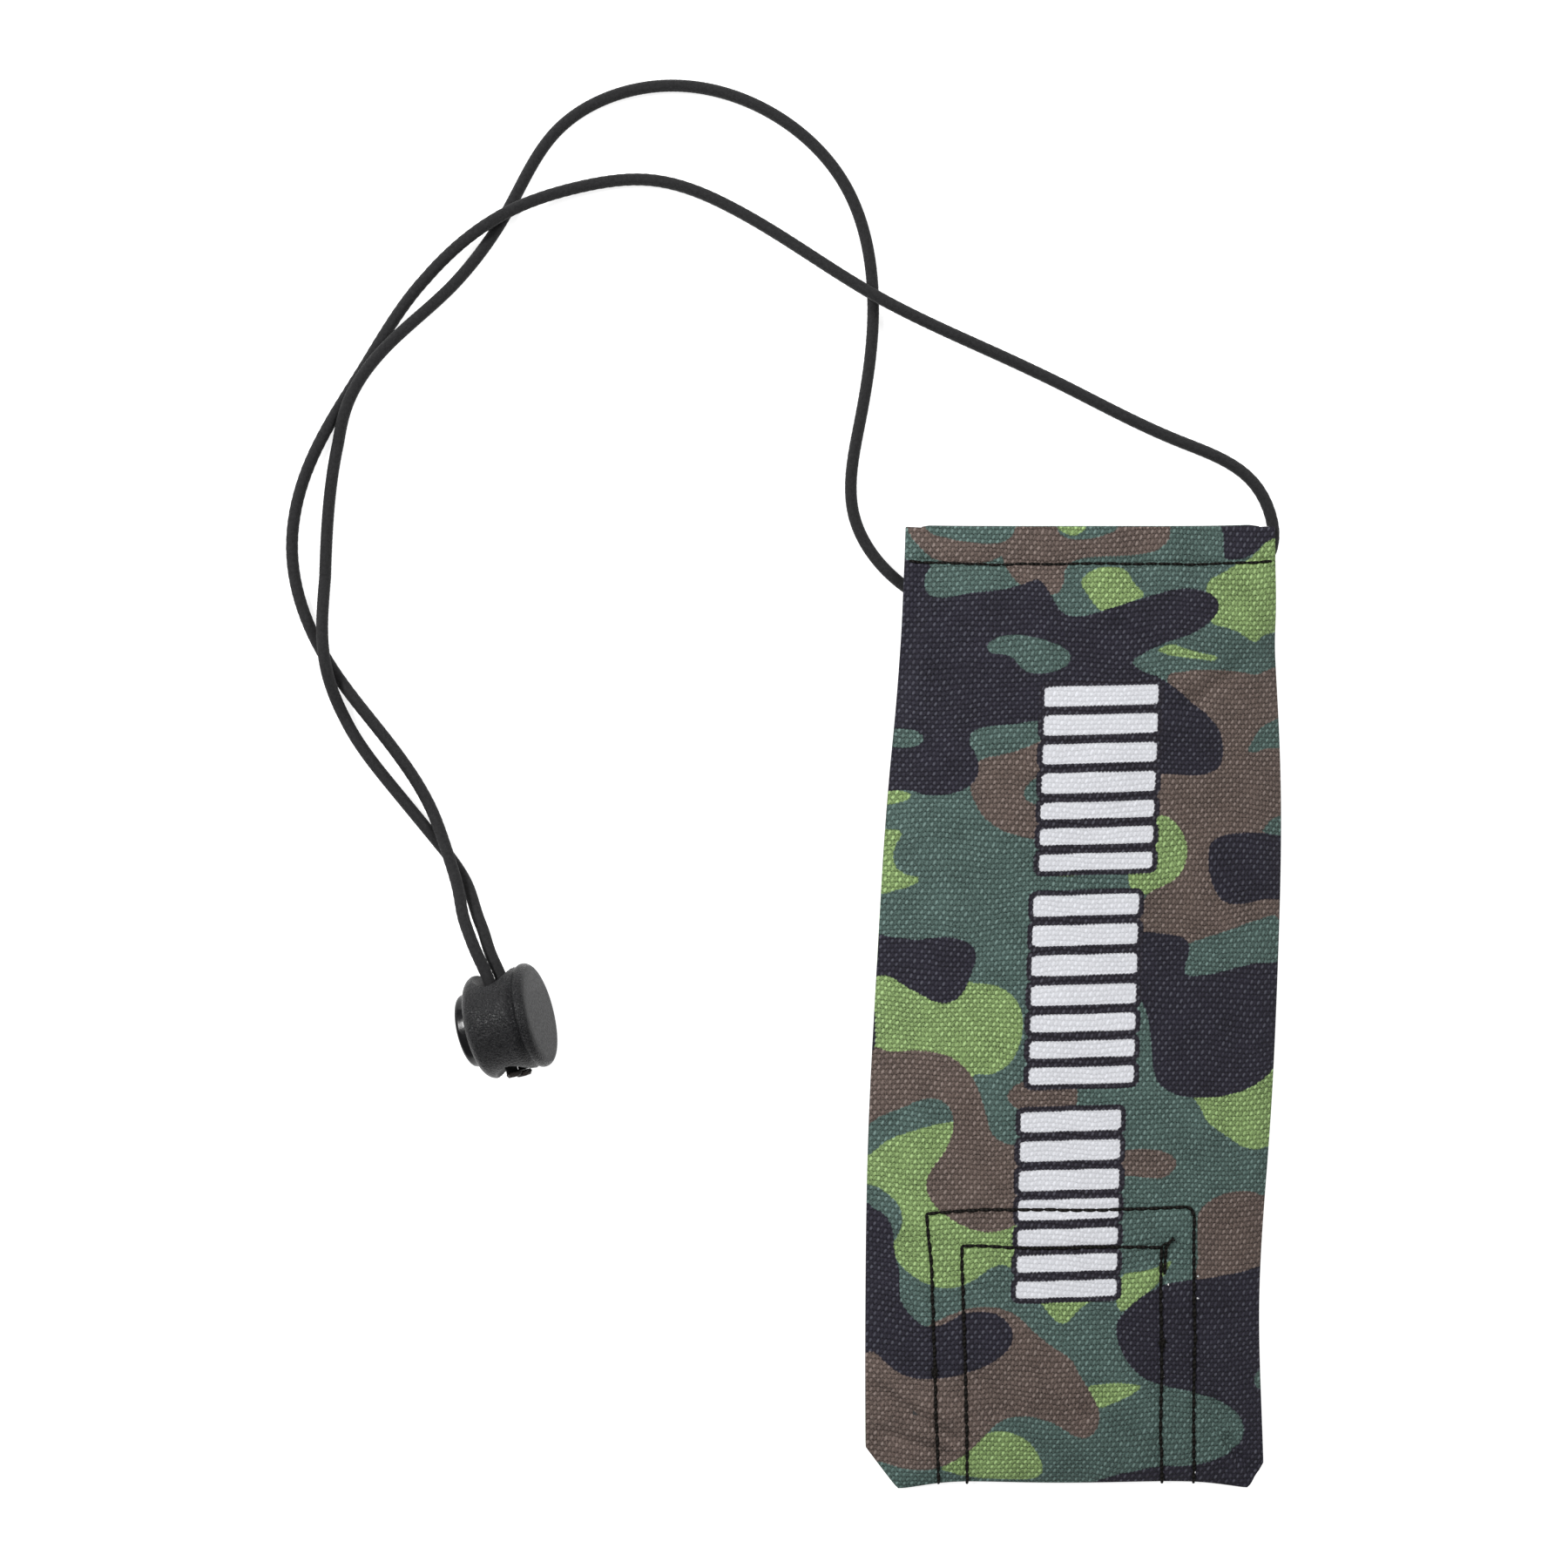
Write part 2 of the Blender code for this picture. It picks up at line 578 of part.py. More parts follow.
def add_housing():
    """A cup with its mouth at the plunger's end, and the cord hole across it."""
    low = -BARREL_LENGTH / 2
    high = BARREL_LENGTH / 2
    bore = BARREL_RADIUS - BARREL_WALL
    profile = [(high - END_WALL, 0), (high - END_WALL, bore), (low, bore)]
    profile += [(low, BARREL_RADIUS - MOUTH_ROUND)]
    profile += arc((low + MOUTH_ROUND, BARREL_RADIUS - MOUTH_ROUND), MOUTH_ROUND, 165, 90, 5)
    profile += [(high - RIM_ROUND - 0.8 * MM, BARREL_RADIUS)]
    profile += arc((high - RIM_ROUND - END_CROWN, BARREL_RADIUS - RIM_ROUND), RIM_ROUND, 90, 15, 5)
    profile += [(high - END_CROWN, 0.78 * BARREL_RADIUS), (high, 0.4 * BARREL_RADIUS), (high, 0)]
    housing = turned("lock_housing", profile, PARTS)
    finish_turned(housing, "textured plastic")
    cut(housing, add_hole_cutter("housing_hole", HOLE_WIDTH, HOLE_HEIGHT, 0, 1))


def add_plunger():
    """A short piston, with a slot that stays clear of the cord over its whole travel."""
    low = -BARREL_LENGTH / 2 - PLUNGER_OUT
    high = BARREL_LENGTH / 2 - END_WALL - SPRING_ROOM
    radius = BARREL_RADIUS - BARREL_WALL - PLUNGER_CLEARANCE
    profile = [(low, 0), (low, radius - PLUNGER_ROUND - 0.2 * MM)]
    profile += arc((low + PLUNGER_ROUND, radius - PLUNGER_ROUND), PLUNGER_ROUND, 165, 90, 4)
    profile += [(high - PLUNGER_CHAMFER, radius), (high, radius - PLUNGER_CHAMFER), (high, 0)]
    plunger = turned("lock_plunger", profile, PARTS)
    finish_turned(plunger, "gloss plastic")
    slot = add_hole_cutter("plunger_slot", HOLE_WIDTH + PLUNGER_TRAVEL, HOLE_HEIGHT,
                           -PLUNGER_TRAVEL / 2, 0)
    cut(plunger, slot)


def add_spring():
    """A conical spring between the plunger and the blind end."""
    low = BARREL_LENGTH / 2 - END_WALL - SPRING_ROOM + SPRING_WIRE / 2 + SPRING_GAP
    high = BARREL_LENGTH / 2 - END_WALL - SPRING_WIRE / 2 - SPRING_GAP
    points = []
    for t in np.linspace(0, 1, 49):
        angle = SPRING_TURNS * 2 * math.pi * t
        radius = SPRING_RADII[0] + (SPRING_RADII[1] - SPRING_RADII[0]) * t
        points.append((radius * math.cos(angle), radius * math.sin(angle), low + (high - low) * t))
    spring = add_tube("lock_spring", "spring steel", points, SPRING_WIRE, resolution=1)
    stand_on_axis(spring)


clear_scene()
PARTS = make_collection("barrel_cover")
GUIDES = make_collection("cutters")
MATERIALS = {name: make_material(name) for name in COLOURS}
add_panels()
add_hems()
add_patch()
add_hem_stitching()
add_seam_stitching()
add_patch_stitching()
add_keeper()
add_cord()
add_housing()
add_plunger()
add_spring()
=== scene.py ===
"""A barrel cover: camouflage sleeve, looped shock cord and sprung cord lock, lying on a pale floor."""

import math

import bmesh
import bpy
import numpy as np
from mathutils import Matrix, Vector


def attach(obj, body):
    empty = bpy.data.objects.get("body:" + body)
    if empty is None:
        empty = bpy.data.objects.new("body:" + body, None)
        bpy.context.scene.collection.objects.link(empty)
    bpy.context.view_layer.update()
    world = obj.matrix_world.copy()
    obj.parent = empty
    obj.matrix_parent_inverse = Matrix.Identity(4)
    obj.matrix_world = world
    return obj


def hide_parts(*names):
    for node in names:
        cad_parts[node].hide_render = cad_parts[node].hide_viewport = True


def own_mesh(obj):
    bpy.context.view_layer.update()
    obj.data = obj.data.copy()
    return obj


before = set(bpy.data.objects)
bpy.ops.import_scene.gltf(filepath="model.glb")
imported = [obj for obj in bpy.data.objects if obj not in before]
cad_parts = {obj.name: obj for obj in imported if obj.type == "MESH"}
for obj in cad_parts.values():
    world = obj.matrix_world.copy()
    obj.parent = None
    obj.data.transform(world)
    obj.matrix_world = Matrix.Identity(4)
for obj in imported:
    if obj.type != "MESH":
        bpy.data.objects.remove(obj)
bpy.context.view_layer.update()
MM = 0.001

# Sleeve, as in the CAD
SLEEVE_LENGTH = 192 * MM
FABRIC = 0.5 * MM
SEAM_GAP = 1.0 * MM
MOUTH_TOP = 10.0 * MM
BODY_TOP = 6.8 * MM
SHOULDER = (66 * MM, 8 * MM)
TIP_LENGTH = 34 * MM
SIDE_STATIONS = np.array((  # y, left edge x, right edge x
    (-96, -41.3, 38.0), (-84, -41.4, 37.6), (-60, -41.4, 37.0), (-25, -40.8, 39.1),
    (10, -39.0, 40.8), (45, -36.7, 41.3), (66, -34.8, 40.4), (80, -34.1, 39.7),
    (96, -33.4, 39.4))) * MM
TIP_HALF_WIDTH = 39.4 * MM
LEFT_CORNER = (6.1 * MM, 8.8 * MM, 1.1 * MM)
RIGHT_CORNER = (3.0 * MM, 5.2 * MM, 0.6 * MM)
CORNER_POWER = 1.05
CORNER_DIP_REACH = 0.2
BOTTOM_BOW = 0.95 * MM
BOTTOM_SAG = 2.0
LIFT = 3.7 * MM
LIFT_Y = 77 * MM
LIFT_REACH = 13 * MM
LIFT_LEFT = 6.5 * MM
LIFT_RIGHT = 11 * MM
LIFT_FLAT = 0.3
FULL_ACROSS = 2.4  # how flat the sleeve is in its middle
FULL_ROUND = 0.8  # and how steep at its edges

# Cord and lock, as in the CAD
CORD = 2.45 * MM
CORD_REST = 1.25
CORD_OVER = 4.7
STUB_OUT = 9.9 * MM
STRAIGHT_IN = 9.0 * MM
STRAND_SIDE = 0.95 * MM
STRAND_RISE = 1.05 * MM
LOCK_CENTRE = Vector((-111.6 * MM, -1.95 * MM, 11.15 * MM))
LOCK_TURN = (Matrix.Rotation(math.radians(14.6), 3, "Z")
             @ Matrix.Rotation(math.radians(-9.5), 3, "Y"))
LOCK_AXIS = LOCK_TURN @ Vector((1, 0, 0))
HOLE_AXIS = LOCK_TURN @ Vector((0, 1, 0))
LOCK_UP = LOCK_TURN @ Vector((0, 0, 1))
HOLE_CENTRE = LOCK_CENTRE - 0.9 * MM * LOCK_AXIS
BARREL_RADIUS = 10.4 * MM
BARREL_LENGTH = 13.2 * MM
BORE = 7.45 * MM
END_WALL = 1.6 * MM
HOLE_SIZE = (5.6 * MM, 11.0 * MM)  # along the barrel and across it
HOLE_FLARE = (  # part of the barrel's radius from its axis, how much the hole widens there
    (0.5, 0.0), (0.66, 0.04), (0.8, 0.175), (0.93, 0.4), (1.2, 0.575))
PLUNGER_RADIUS = 7.25 * MM
PLUNGER_ENDS = (-9.0 * MM, 3.1 * MM)
PLUNGER_TRAVEL = 1.6 * MM
HOUSING_VOXEL = 0.18 * MM
HOUSING_PASSES = 5
SPRING_ROOM = 1.9 * MM
SPRING_WIRE = 0.45 * MM
SPRING_RADII = (3.0 * MM, 5.6 * MM)  # at the plunger and at the blind end
SPRING_TURNS = 2.25
SPRING_GAP = 0.15 * MM


def smooth_curve(knots, step):
    """Points of a natural cubic spline through the knots, about step apart."""
    knots = np.array(knots, float)
    gaps = np.linalg.norm(np.diff(knots, axis=0), axis=1)
    place = np.concatenate([[0], np.cumsum(gaps)])
    count = len(knots)
    system = np.eye(count)
    target = np.zeros_like(knots)
    for i in range(1, count - 1):
        system[i, i - 1:i + 2] = (gaps[i - 1], 2 * (gaps[i - 1] + gaps[i]), gaps[i])
        target[i] = 6 * ((knots[i + 1] - knots[i]) / gaps[i] - (knots[i] - knots[i - 1]) / gaps[i - 1])
    bends = np.linalg.solve(system, target)
    fine = np.linspace(0, place[-1], 60 * count)
    index = np.clip(np.searchsorted(place, fine) - 1, 0, count - 2)
    gap = gaps[index][:, None]
    left = (place[index + 1] - fine)[:, None]
    right = (fine - place[index])[:, None]
    points = (bends[index] * left**3 + bends[index + 1] * right**3) / (6 * gap)
    points += (knots[index] / gap - bends[index] * gap / 6) * left
    points += (knots[index + 1] / gap - bends[index + 1] * gap / 6) * right
    return spaced(points, step)


def spaced(points, step):
    """The same line with its points about step apart."""
    length = np.concatenate([[0], np.cumsum(np.linalg.norm(np.diff(points, axis=0), axis=1))])
    even = np.linspace(0, length[-1], max(3, round(length[-1] / step) + 1))
    return np.column_stack([np.interp(even, length, points[:, i]) for i in range(points.shape[1])])


def link(name, data, material=None):
    obj = bpy.data.objects.new(name, data)
    bpy.context.scene.collection.objects.link(obj)
    if material is not None:
        data.materials.append(material)
    return obj


def mesh_of(name, points, faces, material, smooth=True):
    mesh = bpy.data.meshes.new(name)
    mesh.from_pydata([tuple(p) for p in points], [], faces)
    mesh.update()
    if smooth:
        mesh.shade_smooth()
    return link(name, mesh, material)


def settle(obj, body, nodes):
    """Says which body a piece moves with, and hides the CAD nodes that it stands for."""
    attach(obj, body)
    if nodes:
        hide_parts(*nodes)
    return obj


def store(mesh, name, values):
    """A number for each vertex, which a material reads by name."""
    attribute = mesh.attributes.new(name, "FLOAT", "POINT")
    attribute.data.foreach_set("value", np.asarray(values, np.float32))


# ---------------------------------------------------------------- materials

class Nodes:
    """Short ways to add shader nodes to one material."""

    def __init__(self, name):
        self.material = bpy.data.materials.new(name)
        self.material.use_nodes = True
        self.tree = self.material.node_tree
        self.shader = self.tree.nodes["Principled BSDF"]

    def add(self, kind, inputs=(), **settings):
        """A new node: inputs pairs the number or name of a socket with what it is fed."""
        node = self.tree.nodes.new(kind)
        for key, value in settings.items():
            setattr(node, key, value)
        for key, value in inputs:
            self.feed(node.inputs[key], value)
        return node

    def feed(self, socket, value):
        if hasattr(value, "is_output"):
            self.tree.links.new(value, socket)
        elif socket.type == "VECTOR":
            socket.default_value = value[:3]
        else:
            socket.default_value = value

    def math(self, operation, *values):
        return self.add("ShaderNodeMath", enumerate(values), operation=operation).outputs[0]

    def plus(self, first, second):
        return self.math("ADD", first, second)

    def minus(self, first, second):
        return self.math("SUBTRACT", first, second)

    def times(self, first, second, plus=None):
        """first * second, with plus added if there is one."""
        if plus is None:
            return self.math("MULTIPLY", first, second)
        return self.math("MULTIPLY_ADD", first, second, plus)

    def sine(self, value, factor):
        return self.math("SINE", self.times(value, factor))

    def mix(self, share, first, second):
        """A colour between two others."""
        return self.add("ShaderNodeMix", ((0, share), (6, first), (7, second)), data_type="RGBA").outputs[2]

    def blend(self, share, first, second):
        """A number between two others."""
        return self.add("ShaderNodeMix", ((0, share), (2, first), (3, second)), data_type="FLOAT").outputs[0]

    def ramp(self, value, low, high, first=0.0, second=1.0):
        """A smooth step from first, where the value is low, to second, where it is high."""
        inputs = enumerate((value, low, high, first, second))
        return self.add("ShaderNodeMapRange", inputs, interpolation_type="SMOOTHSTEP").outputs[0]

    def scaled(self, colour, gain):
        return self.add("ShaderNodeVectorMath", ((0, colour), ("Scale", gain)), operation="SCALE").outputs[0]

    def number(self, name):
        return self.add("ShaderNodeAttribute", attribute_name=name).outputs["Fac"]

    def vector(self, x, y, z=0.0):
        return self.add("ShaderNodeCombineXYZ", enumerate((x, y, z))).outputs[0]

    def place(self):
        return self.add("ShaderNodeTexCoord").outputs["Object"]

    def noise(self, scale, detail=2.0, roughness=0.5, at=None):
        at = self.place() if at is None else at
        inputs = (("Vector", at), ("Scale", scale), ("Detail", detail), ("Roughness", roughness))
        return self.add("ShaderNodeTexNoise", inputs).outputs[0]

    def swing(self, *settings):
        """Noise about nought."""
        return self.minus(self.noise(*settings), 0.5)

    def bump(self, height, distance, strength):
        inputs = (("Height", height), ("Distance", distance), ("Strength", strength))
        return self.add("ShaderNodeBump", inputs).outputs[0]

    def finish(self, colour, roughness, normal=None, **constants):
        for name, value in (("Base Color", colour), ("Roughness", roughness), ("Normal", normal)):
            if value is not None:
                self.feed(self.shader.inputs[name], value)
        for key, value in constants.items():
            self.shader.inputs[key.replace("_", " ")].default_value = value
        return self.material


def grey(value, warmth=0.0):
    return (value * (1 + warmth), value, value * (1 - warmth), 1)


WARP = 0.73  # mm from one lengthwise thread to the next
WEFT = 1.0  # and between crosswise ones
LEAN = 0.3  # mm that a crossing leans to the right over the height of its row


def plain_weave(nodes, across, along, warp=WARP, weft=WEFT):
    """The weave at places in mm: its relief, which thread is on top, and a chance number for each crossing.

    The relief goes from 0 to 1. The second goes from -1, where the lengthwise thread is on top, to 1.
    """
    place = nodes.vector(across, along)
    sway = nodes.swing(0.04, 1.0, 0.5, place)
    wobble = nodes.swing(0.4, 2.0, 0.6, place)
    shift = nodes.times(sway, 5.0, nodes.times(wobble, 0.75))
    row = nodes.math("DIVIDE", nodes.plus(shift, along), weft)
    lean = nodes.minus(0.5, nodes.math("FRACT", row))
    column = nodes.times(lean, LEAN, nodes.times(shift, 0.35, across))
    column = nodes.math("DIVIDE", column, warp)
    threads = []
    for thread, crossing, sign in ((column, row, 1), (row, column, -1)):
        number = nodes.math("FLOOR", thread)
        middle = nodes.minus(nodes.minus(thread, number), 0.5)
        rise = nodes.sine(nodes.plus(crossing, number), math.pi)
        profile = nodes.math("COSINE", nodes.times(middle, 0.92 * math.pi))
        threads.append(nodes.times(rise, 0.5 * sign, nodes.times(profile, 0.5)))
    relief = nodes.math("MAXIMUM", threads[0], threads[1])
    over = -1.0
    for thread in (column, row):
        over = nodes.times(over, nodes.sine(thread, math.pi))
    cell = nodes.vector(nodes.math("FLOOR", column), nodes.math("FLOOR", row))
    chance = nodes.add("ShaderNodeTexWhiteNoise", (("Vector", cell),), noise_dimensions="2D")
    return relief, over, chance.outputs["Value"]


def srgb(red, green, blue):
    """Colour from 8-bit display values."""
    def linear(v):
        v /= 255
        return v / 12.92 if v <= 0.04045 else ((v + 0.055) / 1.055) ** 2.4
    return (linear(red), linear(green), linear(blue), 1)


# The printed colours, from the one under all the others upwards
GROUND = srgb(75, 95, 90)
PRINT_LAYERS = (("light", srgb(125, 150, 95)), ("brown", srgb(96, 83, 77)),
                ("dark", srgb(38, 36, 47)), ("green", GROUND))
OUTLINE = srgb(39, 36, 45)
WHITE = srgb(200, 201, 206)
# Grey on the crosswise threads' tops: partly worn ink, partly painted sheen
WORN_AND_SHEEN_GREY = srgb(180, 188, 192)
WEAR_AND_SHEEN = (0.02, 0.085)  # least and most of the grey on a crosswise thread, partly worn ink and partly painted sheen
TOP_HIGHLIGHT = (0.05, 0.6)  # painted highlight: how much lighter than the rest such a thread is


def cloth_material(name, printed=True):
    nodes = Nodes(name)
    across = nodes.number("across")
    along = nodes.number("along")
    place = nodes.vector(across, along)
    relief, over, chance = plain_weave(nodes, across, along)
    fray = nodes.times(nodes.minus(relief, 0.7), 0.35)
    if printed:
        colour = GROUND
        for layer, shade in PRINT_LAYERS:
            edge = nodes.plus(nodes.number(layer), fray)
            colour = nodes.mix(nodes.ramp(edge, -0.13, 0.13, 1.0, 0.0), colour, shade)
        mark = nodes.plus(nodes.number("mark"), fray)
        colour = nodes.mix(nodes.ramp(mark, 0.95, 1.2, 1.0, 0.0), colour, OUTLINE)
        white = nodes.ramp(mark, -0.12, 0.12, 1.0, 0.0)
        colour = nodes.mix(white, colour, WHITE)
        contrast = nodes.blend(white, 1.0, 0.3)
    else:
        colour = WHITE
        white = 0.5
        contrast = 0.3
    # Painted light on the weave: crosswise thread tops get a painted highlight, lengthwise threads and the
    # gaps between threads get painted shade, and the crosswise tops go grey, partly worn ink and partly
    # painted sheen
    top = nodes.ramp(over, 0.15, 1.0)
    # painted highlight on the crosswise threads' tops
    top_highlight = nodes.times(top, nodes.ramp(chance, 0.0, 1.0, TOP_HIGHLIGHT[0], TOP_HIGHLIGHT[1]))
    # Painted shade: darker on the lengthwise threads and, below, in the gaps between threads
    tone = nodes.plus(nodes.ramp(over, -1.0, 0.3, -0.34, 0.0), top_highlight)
    tone = nodes.plus(nodes.ramp(relief, 0.3, 0.9, -0.48, 0.04), tone)
    patchy = nodes.swing(0.16, 3.0, 0.6, place)
    tone = nodes.times(patchy, 0.6, tone)
    fibre = nodes.swing(4.0, 2.0, 0.7, place)
    tone = nodes.times(fibre, 2.2, tone)
    gain = nodes.times(tone, contrast, 1.0)
    shaded = nodes.scaled(colour, gain)
    # Grey on the crosswise tops: partly worn ink, partly painted sheen
    wear_and_sheen = nodes.times(top, nodes.ramp(chance, 0.0, 1.0, WEAR_AND_SHEEN[0], WEAR_AND_SHEEN[1]))
    worn_and_sheen = nodes.mix(wear_and_sheen, shaded, WORN_AND_SHEEN_GREY)
    height = nodes.times(fibre, 0.35, relief)
    height = nodes.times(height, nodes.blend(white, 1.0, 0.5))
    normal = nodes.bump(height, 0.18 * MM, 1.0)
    return nodes.finish(worn_and_sheen, nodes.ramp(relief, 0.3, 1.0, 0.95, 0.75), normal,
                        Sheen_Weight=0.03, Sheen_Roughness=0.5, Specular_IOR_Level=0.2)


def thread_material():
    nodes = Nodes("thread")
    twist = nodes.sine(nodes.number("twist"), 2 * math.pi)
    shade = nodes.mix(nodes.ramp(twist, -1, 1), grey(0.003, 0.15), grey(0.012, 0.1))
    return nodes.finish(shade, 0.75, nodes.bump(twist, 0.04 * MM, 0.7), Specular_IOR_Level=0.06)


def cord_material():
    """Braided cover: a herringbone of fine strands over the tube's own relief."""
    nodes = Nodes("shock_cord")
    along = nodes.number("along")
    around = nodes.number("around")
    yarn = nodes.sine(nodes.number("strand"), 2 * math.pi)
    fuzz = nodes.noise(1.6, 3.0, 0.65, nodes.vector(along, nodes.times(around, 7.0)))
    tone = nodes.times(yarn, 0.22, nodes.times(fuzz, 0.9))
    shade = nodes.mix(nodes.ramp(tone, 0.1, 0.85), srgb(19, 19, 20), srgb(45, 45, 46))
    normal = nodes.bump(nodes.times(fuzz, 0.5, nodes.times(yarn, 0.4)), 0.05 * MM, 0.8)
    return nodes.finish(shade, 0.78, normal, Sheen_Weight=0.08, Sheen_Roughness=0.4, Specular_IOR_Level=0.2)


def plastic_material(name, shade, roughness, grain, scale, speckle):
    """Moulded plastic with a fine eroded grain, which fades out where the attribute smooth is 1."""
    nodes = Nodes(name)
    grained = nodes.minus(1.0, nodes.number("smooth"))
    coarse = nodes.noise(scale, 2.0, 0.6)
    fine = nodes.noise(2.7 * scale, 2.0, 0.6)
    height = nodes.times(fine, 0.5, nodes.ramp(coarse, 0.35, 0.68))
    height = nodes.times(height, nodes.times(grained, 0.8, 0.2))
    tone = nodes.ramp(fine, 0.3, 0.75, 1 - speckle, 1 + speckle)
    colour = nodes.scaled(shade, tone)
    rough = nodes.ramp(coarse, 0.3, 0.7, roughness + 0.14, roughness + 0.28)
    rough = nodes.times(grained, -0.2, rough)
    return nodes.finish(colour, rough, nodes.bump(height, grain, 0.9), Specular_IOR_Level=0.25)


def webbing_material():
    nodes = Nodes("webbing")
    relief, over, _ = plain_weave(nodes, nodes.number("across"), nodes.number("along"), 1.1, 0.62)
    fibre = nodes.noise(6.0, 2.0, 0.6, nodes.vector(nodes.number("across"), nodes.number("along")))
    tone = nodes.times(fibre, 0.5, nodes.ramp(over, 0.0, 1.0, 0.0, 0.4))
    shade = nodes.mix(nodes.ramp(tone, 0.1, 0.9), grey(0.008), grey(0.032))
    return nodes.finish(shade, 0.7, nodes.bump(relief, 0.2 * MM, 0.9), Sheen_Weight=0.15)


def seal_material():
    nodes = Nodes("sealed_end")
    melt = nodes.noise(900, 3.0, 0.6)
    shade = nodes.mix(nodes.ramp(melt, 0.35, 0.7), srgb(22, 18, 16), srgb(52, 42, 36))
    return nodes.finish(shade, nodes.ramp(melt, 0.3, 0.7, 0.7, 0.5), nodes.bump(melt, 0.2 * MM, 0.8))


def steel_material():
    nodes = Nodes("spring_steel")
    drawn = nodes.noise(2500, 2.0, 0.5)
    shade = nodes.mix(drawn, grey(0.42), grey(0.6))
    return nodes.finish(shade, nodes.ramp(drawn, 0.3, 0.7, 0.25, 0.4), Metallic=1.0)


def floor_material():
    nodes = Nodes("floor")
    paper = nodes.noise(60, 3.0, 0.5)
    shade = nodes.mix(paper, grey(0.42), grey(0.46))
    return nodes.finish(shade, 0.9, Emission_Color=(1, 1, 1, 1), Emission_Strength=0.84)


def simple_cloth(name, low, high):
    """Plain fibre, for what is inside or very small."""
    nodes = Nodes(name)
    place = nodes.place()
    fibre = nodes.noise(2200, 2.0, 0.6, place)
    weave = nodes.add("ShaderNodeTexMagic", (("Vector", place), ("Scale", 3200.0)), turbulence_depth=1)
    shade = nodes.mix(fibre, low, high)
    return nodes.finish(shade, 0.8, nodes.bump(weave.outputs["Fac"], 0.1 * MM, 0.6), Sheen_Weight=0.1)


MATERIAL = {
    "cloth": cloth_material("camouflage_fabric"),
    "lining": cloth_material("cloth_inside", printed=False),
    "thread": thread_material(),
    "seam": simple_cloth("seam_thread", grey(0.008), grey(0.02)),
    "patch": simple_cloth("patch_fabric", grey(0.012), grey(0.03)),
    "lint": simple_cloth("lint", grey(0.55), grey(0.75)),
    "webbing": webbing_material(),
    "seal": seal_material(),
    "textured": plastic_material("textured_plastic", srgb(19, 19, 21), 0.3, 0.125 * MM, 2400, 0.4),
    "gloss": plastic_material("gloss_plastic", srgb(17, 17, 19), 0.24, 0.008 * MM, 900, 0.05),
    "steel": steel_material(),
}


# ---------------------------------------------------------------- camera and cord

CAMERA_PLACE = (-57.9 * MM, 44.5 * MM, 481 * MM)  # it looks straight down
LENS = 55


def add_camera():
    camera = bpy.data.objects.new("camera", bpy.data.cameras.new("camera"))
    bpy.context.scene.collection.objects.link(camera)
    camera.location = CAMERA_PLACE
    camera.data.lens = LENS
    camera.data.clip_start = 0.01
    camera.data.clip_end = 10
    bpy.context.scene.camera = camera


def in_lock(side, along):
    """A point on a strand in the cord lock: side is 1 or -1, and along runs towards the sleeve."""
    return HOLE_CENTRE + side * (STRAND_SIDE * LOCK_AXIS - STRAND_RISE * LOCK_UP) + along * HOLE_AXIS


CORD_ROUTE = (  # mm, between the two straight stretches in the lock
    (-115.8, 11.5, 9.6), (-117.2, 15.4, 8.4), (-118.3, 17.9, 7.4), (-120.7, 23.9, 4.4),
    (-125.3, 30.5, CORD_REST), (-135.8, 43.3, CORD_REST), (-145.8, 57.6, CORD_REST),
    (-149.0, 67.8, CORD_OVER), (-149.8, 86.0, CORD_REST), (-147.2, 112.7, CORD_REST),
    (-144.8, 120.4, 3.7), (-141.4, 126.5, 3.9), (-124.5, 144.1, CORD_REST), (-113.3, 159.2, CORD_REST),
    (-103.4, 175.3, CORD_REST), (-83.7, 184.2, CORD_REST), (-60.0, 178.6, CORD_REST),
    (-45.5, 164.1, CORD_REST), (-40.1, 142.5, CORD_REST), (-42.7, 117.0, CORD_REST),
    (-43.8, 97.9, CORD_REST), (-35.4, 85.4, CORD_REST), (2.9, 77.0, 2.1), (22.0, 79.8, 1.9),
    (34.4, 84.6, CORD_REST), (39.9, 92.3, CORD_REST), (39.4, 98.7, CORD_REST), (36.2, 104.7, CORD_REST),
    (20.9, 113.3, CORD_REST), (-7.7, 127.1, CORD_REST), (-39.7, 141.6, CORD_OVER),
    (-69.3, 160.4, CORD_REST), (-84.2, 165.4, CORD_REST), (-98.9, 163.9, 1.8),
    (-112.9, 158.2, CORD_OVER), (-129.6, 145.8, CORD_REST), (-142.5, 127.0, CORD_REST),
    (-153.9, 106.0, CORD_REST), (-156.4, 90.5, CORD_REST), (-149.9, 70.1, CORD_REST),
    (-137.3, 53.1, CORD_REST), (-128.3, 39.2, 2.0), (-124.8, 30.7, 4.6), (-122.2, 23.1, 7.4),
    (-120.9, 18.0, 9.7), (-119.9, 15.4, 10.6), (-118.3, 11.7, 11.5))


def frames_along(points):
    """Unit (tangent, side, up) at each point, turning as little as possible."""
    tangents = np.gradient(points, axis=0)
    tangents /= np.linalg.norm(tangents, axis=1)[:, None]
    side = np.cross(tangents[0], (0, 0, 1))
    sides = []
    for tangent in tangents:
        side = side - tangent * (side @ tangent)
        side /= np.linalg.norm(side)
        sides.append(side)
    sides = np.array(sides)
    return tangents, sides, np.cross(sides, tangents)


